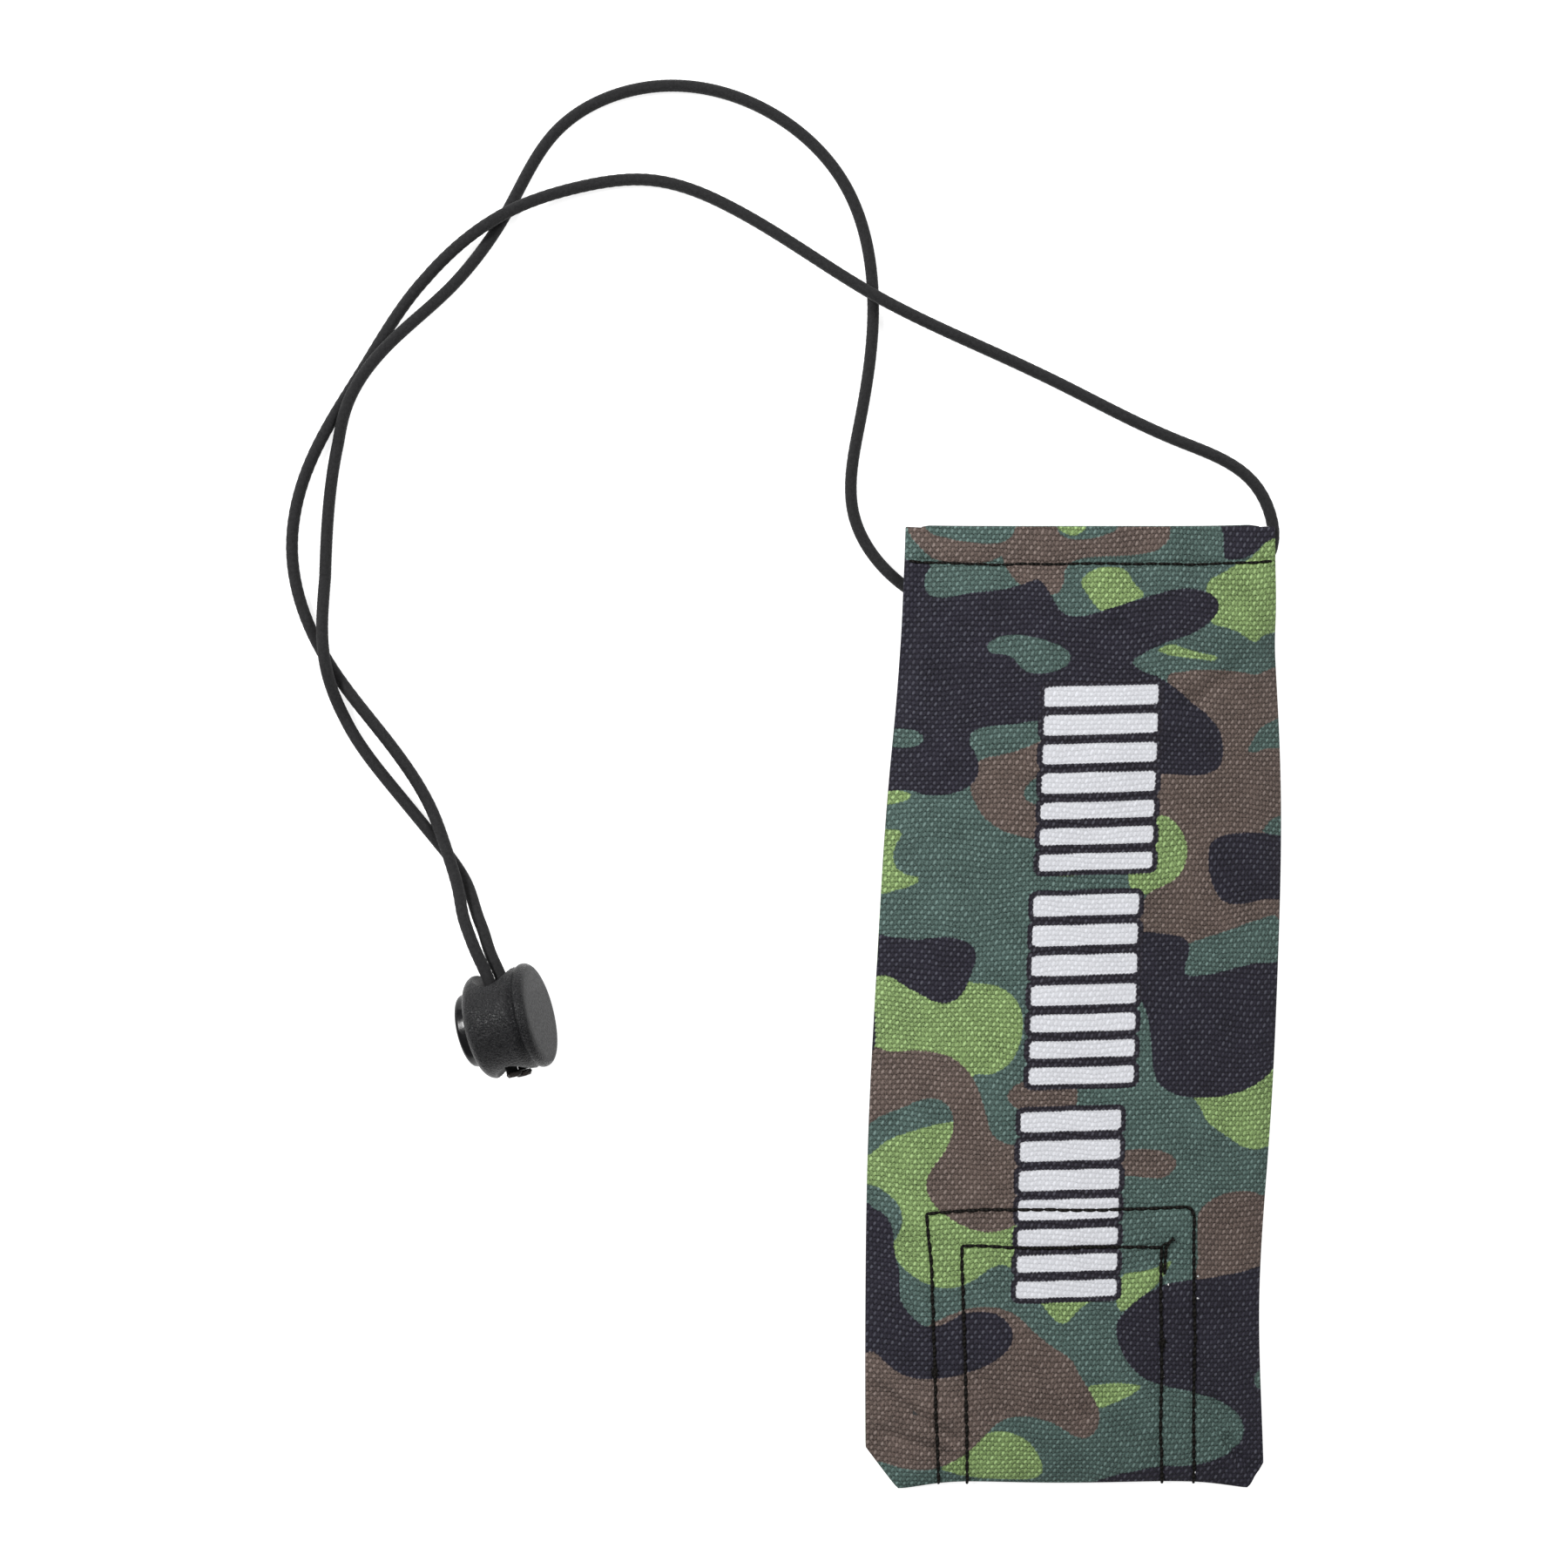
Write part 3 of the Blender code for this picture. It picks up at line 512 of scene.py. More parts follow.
def tube(points, radius, count):
    """(vertices, faces) of a closed tube: radius is a number, or one for each ring and corner."""
    _, sides, ups = frames_along(points)
    angles = np.linspace(0, 2 * math.pi, count, endpoint=False)
    radii = np.broadcast_to(radius, (len(points), count))[:, :, None]
    spokes = sides[:, None] * np.cos(angles)[:, None] + ups[:, None] * np.sin(angles)[:, None]
    verts = (points[:, None] + radii * spokes).reshape(-1, 3)
    faces = []
    for ring in range(len(points) - 1):
        for i in range(count):
            j = (i + 1) % count
            a, b = ring * count, (ring + 1) * count
            faces.append((a + i, a + j, b + j, b + i))
    faces.append(tuple(range(count - 1, -1, -1)))
    faces.append(tuple(range((len(points) - 1) * count, len(points) * count)))
    return verts, faces


BRAID_STEP = 0.36 * MM  # between the rings of the cord's mesh
BRAID_PITCH = 7.2 * MM  # over which a strand of the cover goes once round
BRAID_STRANDS = 8  # each way
BRAID_RELIEF = 0.055 * MM
BRAID_SUNK = 0.03 * MM  # how far the cover's middle lies inside the cord's own radius
BRAID_SIDES = 20  # of the cord's mesh
BRAID_MIDDLE = 0.4  # of the ridges' height


def add_cord():
    """The braided cover along the cord's route, with its melted ends and the lock, which it carries."""
    first = [in_lock(1, -STUB_OUT), in_lock(1, 0), in_lock(1, STRAIGHT_IN)]
    last = [in_lock(-1, STRAIGHT_IN), in_lock(-1, 0), in_lock(-1, -STUB_OUT)]
    knots = [*first, *(Vector(place) * MM for place in CORD_ROUTE), *last]
    route = smooth_curve(knots, BRAID_STEP)
    route[:, 2] = np.maximum(route[:, 2], CORD_REST * MM)
    along = np.arange(len(route))[:, None] * BRAID_STEP
    around = np.linspace(0, 1, BRAID_SIDES, endpoint=False)[None, :]
    right = BRAID_STRANDS * (around + along / BRAID_PITCH)
    left = BRAID_STRANDS * (around - along / BRAID_PITCH)
    ridges = np.maximum(np.sin(math.pi * right) ** 2 * np.cos(math.pi * left / 2) ** 2,
                        np.sin(math.pi * left) ** 2 * np.sin(math.pi * right / 2) ** 2)
    radius = CORD / 2 - BRAID_SUNK + BRAID_RELIEF * (ridges - BRAID_MIDDLE)
    verts, faces = tube(route, radius, BRAID_SIDES)
    cord = mesh_of("shock_cord_cover", verts, faces, cord_material())
    store(cord.data, "along", np.repeat(along[:, 0] / MM, BRAID_SIDES))
    store(cord.data, "around", np.tile(around[0], len(route)))
    store(cord.data, "strand", 4 * right.ravel())
    settle(cord, "sleeve", ("shock_cord",))
    with_pieces = [add_seal("cord_seal_first", 1), add_seal("cord_seal_second", -1), *add_lock()]


SEAL_SIZE = 0.66  # the bead's radius as a part of the cord's thickness
SEAL_INWARDS = 0.7  # how near to the hole's middle it lies, as a part of the strand's own distance


def add_seal(node, side):
    """The melted end of a strand: an uneven bead over its cut."""
    bm = bmesh.new()
    bmesh.ops.create_icosphere(bm, subdivisions=4, radius=CORD * SEAL_SIZE)
    middle = in_lock(SEAL_INWARDS * side, -STUB_OUT - (0.3 + 0.2 * side) * MM)
    turn = HOLE_AXIS.to_track_quat("-Z", "Y").to_matrix()
    for vert in bm.verts:
        x, y, z = vert.co / CORD
        lump = 1 + 0.05 * math.sin(9 * x + 5 * y + side) * math.cos(8 * y - 6 * z)
        lump += 0.04 * math.sin(17 * z + 11 * x)
        flat = Vector((x * lump, y * lump, max(-0.12, min(0.3, z * 0.8 * lump)))) * CORD
        vert.co = middle + turn @ flat
    mesh = bpy.data.meshes.new(node + "_bead")
    bm.to_mesh(mesh)
    bm.free()
    mesh.shade_smooth()
    return settle(link(node + "_bead", mesh, MATERIAL["seal"]), "sleeve", (node,))


# ---------------------------------------------------------------- the sleeve's shape

EDGES = smooth_curve(SIDE_STATIONS, 1 * MM)


def side_edges(y):
    return np.interp(y, EDGES[:, 0], EDGES[:, 1]), np.interp(y, EDGES[:, 0], EDGES[:, 2])


def bottom_edge(u):
    """The tip's edge, bowed between two rounded corners: u goes from -1 to 1 across the sleeve."""
    width, height, dip = (np.where(u < 0, *pair) for pair in zip(LEFT_CORNER, RIGHT_CORNER))
    reach = width / TIP_HALF_WIDTH
    into_corner = np.maximum(0.0, (np.abs(u) - 1 + reach) / reach)
    inside = np.maximum(0.0, 1 - reach - np.abs(u))
    bow = BOTTOM_BOW * (1 - u * u) * (1 + (1 + BOTTOM_SAG) * u * u)
    bow -= dip * np.exp(-((inside / CORNER_DIP_REACH) ** 2))
    return -SLEEVE_LENGTH / 2 + bow + height * into_corner**CORNER_POWER


def smooth_step(t):
    t = np.clip(t, 0, 1)
    return t * t * (3 - 2 * t)


def fullness(u):
    """How full the sleeve is across its width: 1 in the middle and 0 at its edges."""
    return (1 - np.minimum(1.0, np.abs(u)) ** FULL_ACROSS) ** FULL_ROUND


def lift(u, y):
    """How far the mouth's end of the sleeve is lifted off the floor by the cord and keeper under it."""
    towards_edge = np.maximum(0.0, (np.abs(u) - LIFT_FLAT) / (1 - LIFT_FLAT))
    middle = LIFT_Y + np.where(u < 0, LIFT_LEFT, LIFT_RIGHT) * towards_edge**2
    return LIFT * np.exp(-(((y - middle) / LIFT_REACH) ** 4))


def back_height(u, y):
    return FABRIC / 2 + lift(u, y)


def front_height(u, y):
    seam = back_height(u, y) + FABRIC + SEAM_GAP
    top = BODY_TOP + (MOUTH_TOP - BODY_TOP) * smooth_step((y - SHOULDER[1]) / (SHOULDER[0] - SHOULDER[1]))
    into_tip = np.clip((y - bottom_edge(u)) / TIP_LENGTH, 0, 1)
    return seam + (top - seam) * fullness(u) * (1 - (1 - into_tip) ** FULL_ACROSS) ** FULL_ROUND


def across_sleeve(x, y):
    left, right = side_edges(y)
    return (2 * x - left - right) / (right - left)


def place_on_sleeve(u, y):
    left, right = side_edges(y)
    return (left + right) / 2 + u * (right - left) / 2


MOUTH_DRAWN = 1.15 * MM
DRAWN_FROM = 45 * MM


def drawn_back(u, y):
    """How far the front's raised middle pulls its cloth away from the mouth."""
    return MOUTH_DRAWN * fullness(u) * smooth_step((y - DRAWN_FROM) / (SLEEVE_LENGTH / 2 - DRAWN_FROM))


# Rows of stitching, in mm: outer and inner rows on the tip, and the hem's row
HEM_DEPTH = 8.0
HEM_ROW = 96 - 7.2
OUTER_ROW = (
    ((-27.0, -95.4), (-27.6, -84), (-28.0, -70), (-28.6, -52), (-29.6, -40.9)),
    ((-29.6, -40.9), (-26.0, -40.4), (-20.0, -39.9), (-8.0, -39.7), (4.0, -39.8), (14.0, -39.6),
     (21.9, -39.4)),
    ((21.9, -39.4), (23.0, -39.8), (23.5, -41.2)),
    ((23.5, -41.2), (23.4, -50), (23.7, -65), (23.5, -80), (23.9, -92), (24.0, -95.3)))
INNER_ROW = (
    ((-21.3, -95.4), (-21.6, -84), (-22.1, -66), (-22.6, -52), (-22.6, -47.1)),
    ((-22.6, -47.1), (-20.0, -47.0), (-8.0, -47.4), (6.0, -47.1), (16.9, -47.3)),
    ((16.9, -47.3), (16.7, -56), (17.0, -70), (16.9, -84), (17.7, -95.3)))


def leg_distance(x, y, a, b):
    """Distance from each place to the straight line from a to b."""
    d = b - a
    t = np.clip(((x - a[0]) * d[0] + (y - a[1]) * d[1]) / max(d @ d, 1e-9), 0, 1)
    return np.hypot(x - a[0] - t * d[0], y - a[1] - t * d[1])


def path_distance(x, y, path):
    """Distance from each place to the nearest part of a path."""
    path = np.array(path, float)
    return np.minimum.reduce([leg_distance(x, y, a, b) for a, b in zip(path[:-1], path[1:])])


def ridge(off, width):
    """1 on a line and less beside it: off is the distance from the line."""
    return np.exp(-((off / width) ** 2))


CREASES = (  # start, end, width and depth in mm: fans at both lower corners and a few on the body
    ((-24.0, -86.0), (-39.5, -76.0), 1.3, 0.22), ((-25.0, -89.0), (-38.0, -85.0), 1.1, 0.2),
    ((-12.0, -66.0), (-2.0, -84.0), 1.2, 0.2), ((-9.5, -64.5), (1.5, -81.0), 1.0, 0.16),
    ((-19.0, -72.0), (-15.0, -80.0), 1.0, 0.14), ((26.5, -81.0), (33.0, -90.5), 0.9, 0.2),
    ((28.0, -78.5), (35.5, -88.0), 1.0, 0.2), ((25.8, -84.0), (30.5, -93.0), 0.8, 0.16),
    ((31.0, -86.0), (36.0, -94.0), 1.1, 0.24), ((-36.5, 62.0), (-30.0, 88.0), 2.2, 0.25),
    ((-31.0, 55.0), (-24.5, 46.0), 1.6, 0.16), ((31.0, 67.0), (22.0, 60.0), 1.8, 0.16),
    ((18.0, 52.0), (27.0, 40.0), 2.0, 0.12), ((8.0, 76.0), (20.0, 68.0), 2.0, 0.14))


CREASE_GROOVE = 3.2  # times a crease's depth
CREASE_RIM = 0.9
PLY_RISE = 0.16  # mm that a ply inside the cloth lifts it
PUCKER_LENGTH = 2.7
PATCH_LEFT, PATCH_RIGHT, PATCH_TOP = -31.5, 26.5, -36.8


def relief(x, y):
    """How far, in mm, the front stands proud of its smooth shape at places in mm."""
    rise = 0.10 * np.sin(x / 9.0 + 1.3) * np.sin(y / 13.0 + 0.4) + 0.06 * np.sin(x / 4.3 - y / 7.1 + 2.0)
    # The stitched hem: a thick band, a groove under the row and small puckers on both sides of it
    off_row = y - HEM_ROW
    rise += PLY_RISE * smooth_step(off_row / 1.6) - 0.30 * ridge(off_row, 0.75)
    rise += 0.05 * np.sin(2 * math.pi * x / PUCKER_LENGTH) * ridge(off_row, 2.4)
    for row in (OUTER_ROW, INNER_ROW):
        rise -= 0.26 * ridge(path_distance(x, y, [place for leg in row for place in leg]), 0.7)
    # The patch behind the tip thickens it
    inside = np.minimum(np.minimum(x - PATCH_LEFT, PATCH_RIGHT - x), PATCH_TOP - y)
    rise += PLY_RISE * smooth_step(inside / 1.8)
    # Each crease is a groove with a low rim on both sides
    for start, end, width, depth in CREASES:
        off = path_distance(x, y, (start, end))
        rise -= CREASE_GROOVE * depth * ridge(off, width)
        rise += CREASE_RIM * depth * ridge(off - 1.7 * width, width)
    edge = np.minimum(1, np.maximum(0, 1 - np.abs(across_sleeve(x * MM, y * MM))) / 0.06)
    return rise * edge * smooth_step((y + 95.5) / 3.0)


GRID = 0.66 * MM
TURN = 0.26 * MM  # radius of the folds at the seams and the mouth
CLOTH = 0.44 * MM
ALLOWANCE = (0.9 * MM, 1.9 * MM)
HEM_FREE = 0.93  # part of the half width where the hem is turned under
HEM_FOLD = 0.36 * MM  # radius of its fold
FOLD_ANGLES = np.radians((36, 72, 108, 144, 180))
CORNER_SMOOTHING = 6


def eased(count):
    return np.sin(np.linspace(-1, 1, count) * math.pi / 2) * 0.35 + np.linspace(-1, 1, count) * 0.65


def cloth_sheet(name, side, height, materials):
    """One face of the sleeve, with its seams turned in and its hem turned under.

    side is 1 for the front and -1 for the back. It gives the sheet, and each vertex's place in mm on
    the cloth before it was folded.
    """
    us = eased(round(82 * MM / GRID))
    rows = round(SLEEVE_LENGTH / GRID)
    width = len(us)
    inset = TURN / (39 * MM)
    flat_u = np.tile(us, rows + 1)
    fraction = np.repeat(np.linspace(0, 1, rows + 1), width)
    low = bottom_edge(flat_u) + TURN
    y = low + fraction * (SLEEVE_LENGTH / 2 - low - 0.3 * MM)
    x = place_on_sleeve(flat_u * (1 - inset), y)
    z = height(flat_u, y, x)
    shift = drawn_back(flat_u, y) if side > 0 else 0.0
    points = [np.column_stack([x, y - shift, z])]
    flat = [np.column_stack([x, y])]
    faces = []
    for r in range(rows):
        for c in range(width - 1):
            a = r * width + c
            quad = (a, a + 1, a + width + 1, a + width)
            faces.append(quad if side > 0 else quad[::-1])
    count = len(x)

    def add_strip(base, offsets, drops, turned, faced, roundness=1.0):
        """Rings beside a line of grid points: offsets outwards along turned, drops towards the other face."""
        nonlocal count
        before = np.array(base)
        travel, last = 0.0, (0.0, 0.0)
        for offset, drop in zip(offsets, drops):
            place = points[0][base] + turned * offset * (roundness if offset > 0 else 1.0)
            place[:, 2] -= side * drop
            points.append(place)
            travel += np.hypot(offset - last[0], drop - last[1])
            last = (offset, drop)
            flat.append(flat[0][base] + turned[:, :2] * travel)
            after = np.arange(count, count + len(base))
            count += len(base)
            for i in range(len(base) - 1):
                quad = (before[i], before[i + 1], after[i + 1], after[i])
                faces.append(quad if (side > 0) == faced else quad[::-1])
            before = after

    # Seam: down the left edge, along the bottom and up the right edge
    left = [r * width for r in range(rows, -1, -1)]
    right = [r * width + width - 1 for r in range(1, rows + 1)]
    loop = np.array(left + list(range(1, width)) + right)
    line = points[0][loop][:, :2]
    along = np.gradient(line, axis=0)
    along /= np.linalg.norm(along, axis=1)[:, None]
    outwards = np.column_stack([along[:, 1], -along[:, 0], np.zeros(len(loop))])
    for _ in range(CORNER_SMOOTHING):
        outwards[1:-1] = (outwards[:-2] + outwards[1:-1] + outwards[2:]) / 3
    outwards[:, :2] /= np.linalg.norm(outwards[:, :2], axis=1)[:, None]
    offsets = [*(TURN * np.sin(FOLD_ANGLES)), *(-a for a in ALLOWANCE)]
    drops = [*(TURN * (1 - np.cos(FOLD_ANGLES))), 2 * TURN, 2 * TURN]
    add_strip(loop, offsets, drops, outwards, faced=False)
    # Hem: over the mouth's fold and back down inside
    top = np.array([rows * width + c for c in range(width) if abs(us[c]) < HEM_FREE])
    inside = np.linspace(0.9, HEM_DEPTH, 8) * MM
    offsets = [*(HEM_FOLD * np.sin(FOLD_ANGLES)), *(-inside)]
    drops = [*(HEM_FOLD * (1 - np.cos(FOLD_ANGLES))), *([2 * HEM_FOLD] * len(inside))]
    up = np.tile((0.0, 1.0, 0.0), (len(top), 1))
    hem_start = count + len(FOLD_ANGLES) * len(top)
    roundness = np.clip((HEM_FREE - np.abs(us[top - rows * width])) / 0.05, 0.1, 1)[:, None]
    add_strip(top, offsets, drops, up, faced=True, roundness=roundness)
    points = np.concatenate(points)
    flat = np.concatenate(flat) / MM
    # The part of the hem that lies inside follows the face over it
    hem = slice(hem_start, None)
    u = across_sleeve(points[hem, 0], points[hem, 1])
    points[hem, 2] = height(u, points[hem, 1], points[hem, 0]) - side * 2 * HEM_FOLD
    sheet = mesh_of(name, points, faces, materials[0])
    sheet.data.materials.append(materials[1])
    store(sheet.data, "across", flat[:, 0])
    store(sheet.data, "along", flat[:, 1])
    thickness = sheet.modifiers.new("Thickness", "SOLIDIFY")
    thickness.thickness = CLOTH
    thickness.offset = 0
    thickness.material_offset = 1
    thickness.use_even_offset = False
    return sheet, flat


# ---------------------------------------------------------------- the print

# Outlines in mm of the camouflage's blots by colour, for the front lying flat: x, y, x, y and so on
BLOBS = {
    "light": (
        (0.5, 85.1, 1.4, 86.6, 3.6, 87.9, 6.4, 88.2, 8.6, 87.9, 9.9, 86.8, 10.9, 85, 12.9, 82.6, 10.8, 81.4,
         5.3, 79.4, 3.7, 80.1, 1.8, 82.6),
        (25.5, 84.4, 26.2, 85.6, 28.6, 86.8, 31.3, 88.3, 33.8, 89.3, 35.9, 91, 37.6, 92.6, 41, 94, 43, 84,
         41, 75.8, 37.3, 74.3, 35.6, 72.9, 33.8, 73.6, 32, 74.8, 29.8, 75.7, 26.5, 76.8, 25, 80.5),
        (15.7, 71.4, 17.2, 72.3, 19.2, 72.4, 22, 71.3, 24.8, 70.7, 27.5, 70.1, 26.8, 69.2, 24, 69.5,
         20.9, 69.9, 17.8, 70.5),
        (-5.6, 98.5, -4.3, 96.2, -3, 95, -1, 94.5, 0.6, 95.1, 1.6, 96.2, 2.6, 98.5),
        (-40, 42.9, -36, 43.3, -33.8, 43, -32.6, 42.3, -33.6, 41.2, -36, 40.6, -40, 40.4),
        (-41, 35.5, -37, 35.4, -34.9, 35.2, -34.4, 34.3, -35.6, 32.2, -36, 30, -35.4, 27.8, -33.7, 26.6,
         -30.9, 25.7, -32.2, 24.4, -34.9, 23.5, -38, 22.6, -42, 22, -43, 29),
        (-6.5, 28.4, -3.7, 27.9, 1, 27.6, 3.6, 27, 1, 26.6, -2.5, 26.3, -4.9, 26.6, -6, 27.5),
        (10.5, 24, 14.6, 22.8, 18.6, 24.4, 21, 26.4, 22.5, 29.5, 22.6, 33, 21.2, 36, 18.8, 38.4, 16, 39.3,
         12.5, 37.5, 10.5, 33),
        (-42, 5.8, -37.7, 6.6, -33, 8, -26, 9, -21.3, 5.4, -18.5, 5, -15.6, 4.4, -13, 2.9, -11.3, 0.6,
         -10.6, -2.2, -10.8, -5.2, -11.6, -8, -12.9, -10.4, -14.9, -12.1, -17.4, -13.1, -19.7, -13,
         -22, -14, -28, -11.5, -36, -11, -42, -11),
        (-43, -31.5, -39.8, -28.9, -38.4, -27.5, -36.1, -26, -33.3, -24.9, -30, -23.8, -26.6, -22.9,
         -23, -22.8, -21, -28, -23, -38, -18, -42, -12, -41.5, -9.9, -41, -7.4, -40.9, -4.6, -41.9,
         -7, -44.5, -9.4, -49, -9.6, -53.2, -11.1, -52.3, -12.9, -51.2, -15.2, -50.7, -17.5, -51.7,
         -19.8, -53.5, -22.7, -55, -25.6, -55.5, -28.5, -55.1, -31.4, -53.8, -34, -51.9, -35.7, -49.7,
         -36.2, -47.4, -35.1, -45.2, -34.3, -43, -34.5, -40.6, -35.6, -38.6, -37.6, -36.9, -39.8, -35.7,
         -43, -35),
        (23.6, -17, 30, -15.5, 36, -14, 40.5, -11, 44, -18, 42, -28.4, 38.9, -28, 36.3, -28.3, 33.4, -27.7,
         31, -26.1, 28.5, -24.4, 26.2, -22.6, 24.7, -19.7),
        (-8.4, -56, -6.7, -58.6, -5.2, -60.6, -3.6, -62, -2.3, -62.2, -1, -61.1, 0.6, -59.3, 2.6, -58,
         5.6, -56.8, 1, -54.5),
        (18.9, -49.9, 16.2, -51.1, 13.2, -52, 9.4, -52.6, 7.6, -55.5, 8.5, -59.6, 11, -58.8, 14, -56.4,
         17, -53.5, 18, -51.6),
        (2.3, -74.9, 4.8, -74.3, 8.2, -74.1, 11.4, -74.4, 12.7, -75, 10.9, -76.5, 7.7, -78, 4.9, -79,
         2.5, -78),
        (-26.5, -91.8, -22.5, -89, -19.6, -85.8, -17.6, -84.5, -14.7, -84.1, -11.8, -84.7, -9.2, -86.3,
         -7.4, -88.8, -6.5, -91.2, -6.7, -93.2, -9.5, -94.3, -17.5, -94.1, -21.6, -93.6, -24.2, -92.9),
    ),
    "brown": (
        (-34.2, 100, -32.8, 94.2, -31.4, 92.2, -29.6, 90.5, -27.5, 89.3, -24, 88.8, -20, 88.9, -16.8, 89.5,
         -15, 90.3, -14.3, 88.4, -13.2, 86.6, -11.6, 84.8, -8, 82, -5, 82.7, -3.8, 83.3, -2.9, 85.2,
         -2.8, 87.2, -1.7, 88.9, 0.6, 90, 4.5, 90.3, 10, 90.5, 14.5, 91.2, 17, 92.7, 18, 94.6, 17.6, 100,
         10, 99, 7.4, 95.6, 4.2, 94.3, 1, 93.6, -1.5, 93.8, -3.8, 94.9, -5.5, 99, -11, 99, -12.8, 94.6,
         -15, 93.1, -18, 92.7, -22, 93.1, -26, 93.8, -29.2, 95, -31.8, 99.5),
        (17.5, 65.6, 20.8, 67, 25.8, 67.4, 31, 67.2, 35.5, 66.4, 43, 66, 47, 42, 43, 18.9, 39.6, 18.3,
         36, 17.3, 32.5, 16.2, 29, 15, 25.6, 14, 22.8, 13.1, 20, 12, 13.5, 12.6, 11.5, 16.5, 12.6, 20.6,
         14.6, 23.2, 16.4, 24.1, 18.4, 25, 20.4, 26.7, 21.5, 29, 21.8, 31.6, 21.3, 33.9, 20, 36.1,
         18.4, 37.7, 16.6, 38.4, 15.2, 38.2, 14.2, 41, 14.6, 48, 18, 56),
        (-4, 54, -8.4, 52.5, -11.8, 51.2, -15.2, 50.2, -18.4, 49.6, -21, 47, -20.9, 43, -20, 40.7,
         -18.6, 38.3, -16.3, 36.3, -13.7, 34.9, -10.6, 34.1, -7.7, 33.6, -4, 33.6, 2, 36, 3, 45),
        (-44, -8.6, -36.6, -8.8, -32, -8.5, -27.9, -8.8, -24.8, -9.7, -22.2, -11.6, -20.4, -13.9,
         -19.2, -16.5, -18.3, -19.4, -17.6, -22, -16.8, -24.6, -15, -26.2, -12.6, -27, -9, -27.4, 0, -27.9,
         9.2, -28, 12.7, -27.7, 16.8, -28.2, 19.1, -29.3, 19.9, -30.8, 18.9, -32.4, 17, -33.6, 13.8, -33.5,
         9.9, -33.1, 4, -34.8, -2, -38.5, -8.4, -41, -12.2, -42.9, -15.1, -44, -18.5, -44.2, -22, -43.2,
         -24.8, -41.7, -27.6, -39.5, -29.2, -37.1, -29.6, -34.8, -28.8, -32.4, -27.4, -30.4, -26, -28.4,
         -24.9, -26.1, -24.3, -23.6, -24.5, -21, -25.7, -19, -27.9, -18, -31.1, -18.4, -33.7, -19.7,
         -36.6, -20.9, -38.9, -22, -44, -24.6),
        (-44, -66, -39, -66.5, -33, -66, -28.9, -62.9, -26.3, -61.5, -23.2, -60.1, -20.1, -59.2,
         -16.6, -59.1, -13.6, -59.8, -11.3, -61.1, -8.6, -63.7, -5.1, -66.6, -1.9, -68.7, -0.5, -70.2,
         0.3, -71.9, 1.7, -74.2, 3.2, -76.8, 4.4, -79.4, 4.6, -81.7, 3.9, -83.9, 2.4, -85.2, 0.3, -85.1,
         -2.5, -83.6, -5.4, -81.9, -8.9, -81, -12.4, -81, -15.3, -82.2, -17.5, -84.4, -19.6, -86.8,
         -22, -89, -25.2, -91, -28.3, -92.1, -32.2, -92.3, -36.3, -91.6, -39.4, -90.8, -45, -90.4),
        (24.5, -54.5, 24.3, -49.8, 24.2, -45, 24.4, -40.6, 26, -38.8, 28.4, -37.4, 31.5, -36.6, 35, -36.7,
         37.7, -37.7, 43, -39, 43, -52.5, 34, -56),
        (-13.7, -17.6, -13, -16, -11, -14.6, -6, -13.8, -0.6, -14.6, 0.2, -17, -0.4, -19.6, -3, -21.2,
         -8, -21.2, -12, -19.6),
    ),
    "dark": (
        (-40, 88.9, -33, 89, -30.2, 88.9, -28.7, 88.1, -29.7, 86.4, -30, 84.2, -29.1, 82.3, -27.2, 81.7,
         -24.5, 82, -21, 82.9, -15.5, 83.5, -11.3, 84.6, -8.7, 85.6, -7.5, 85.5, -6.2, 83.9, -4.9, 81.6,
         -3.3, 79.2, -0.9, 78.3, 2.2, 78.6, 5, 79.5, 9.6, 81, 14.2, 82.4, 18.2, 83.5, 21.2, 83.8,
         24.4, 83.4, 26.8, 82.2, 27.8, 80.6, 27.5, 78.9, 26.4, 77.5, 24.6, 75.9, 21.5, 74.3, 18, 73.2,
         15.2, 72, 12.4, 70.5, 10.6, 69.2, 11.1, 68.2, 12.9, 67, 15.3, 66.1, 17.6, 64.8, 20, 63, 22.5, 60.8,
         24.8, 59, 26.8, 57, 28.2, 55, 28.9, 52, 28.8, 49.8, 28, 47.8, 25.8, 46.6, 23, 46.2, 19.5, 46.4,
         15, 46.8, 10, 48.5, 4, 52.5, -3, 56.6, -8.4, 57, -13, 56.4, -17.6, 55.9, -20.6, 54.9, -21.2, 52.7,
         -20, 50.4, -19.4, 47.5, -20.3, 45, -22.7, 43.2, -26, 42.4, -29.5, 42.3, -33.5, 43.3, -42, 43.5,
         -42, 51.2, -33.2, 51.7, -31, 52.4, -30, 53.6, -31.2, 54.9, -34, 55.6, -44, 56, -46, 72),
        (29.1, 89.9, 28.9, 94, 29.2, 100, 44, 100, 42, 94.6, 37.4, 92.5, 35.7, 91, 34, 90, 31.8, 89.5),
        (26.3, 32, 27.4, 33.5, 29.7, 34.5, 33.1, 34.8, 37.2, 34.8, 45, 34.4, 45, 22.6, 37.8, 21.6,
         34.7, 20.8, 31.8, 20.6, 29.2, 21.3, 27.7, 23.2, 26.8, 25.5, 26.2, 28.4),
        (-43, 14.2, -35.2, 13.8, -31.2, 13.5, -29.3, 13.8, -26, 14.1, -22.6, 13.6, -20.4, 12.2, -19.8, 10,
         -20.5, 7.6, -21.3, 5.4, -22.1, 3.5, -23.5, 1.9, -25.5, 1, -27.8, 1.2, -29.9, 2.2, -31.8, 3.2,
         -34, 4.4, -36, 5.7, -38, 6.3, -43, 5.8),
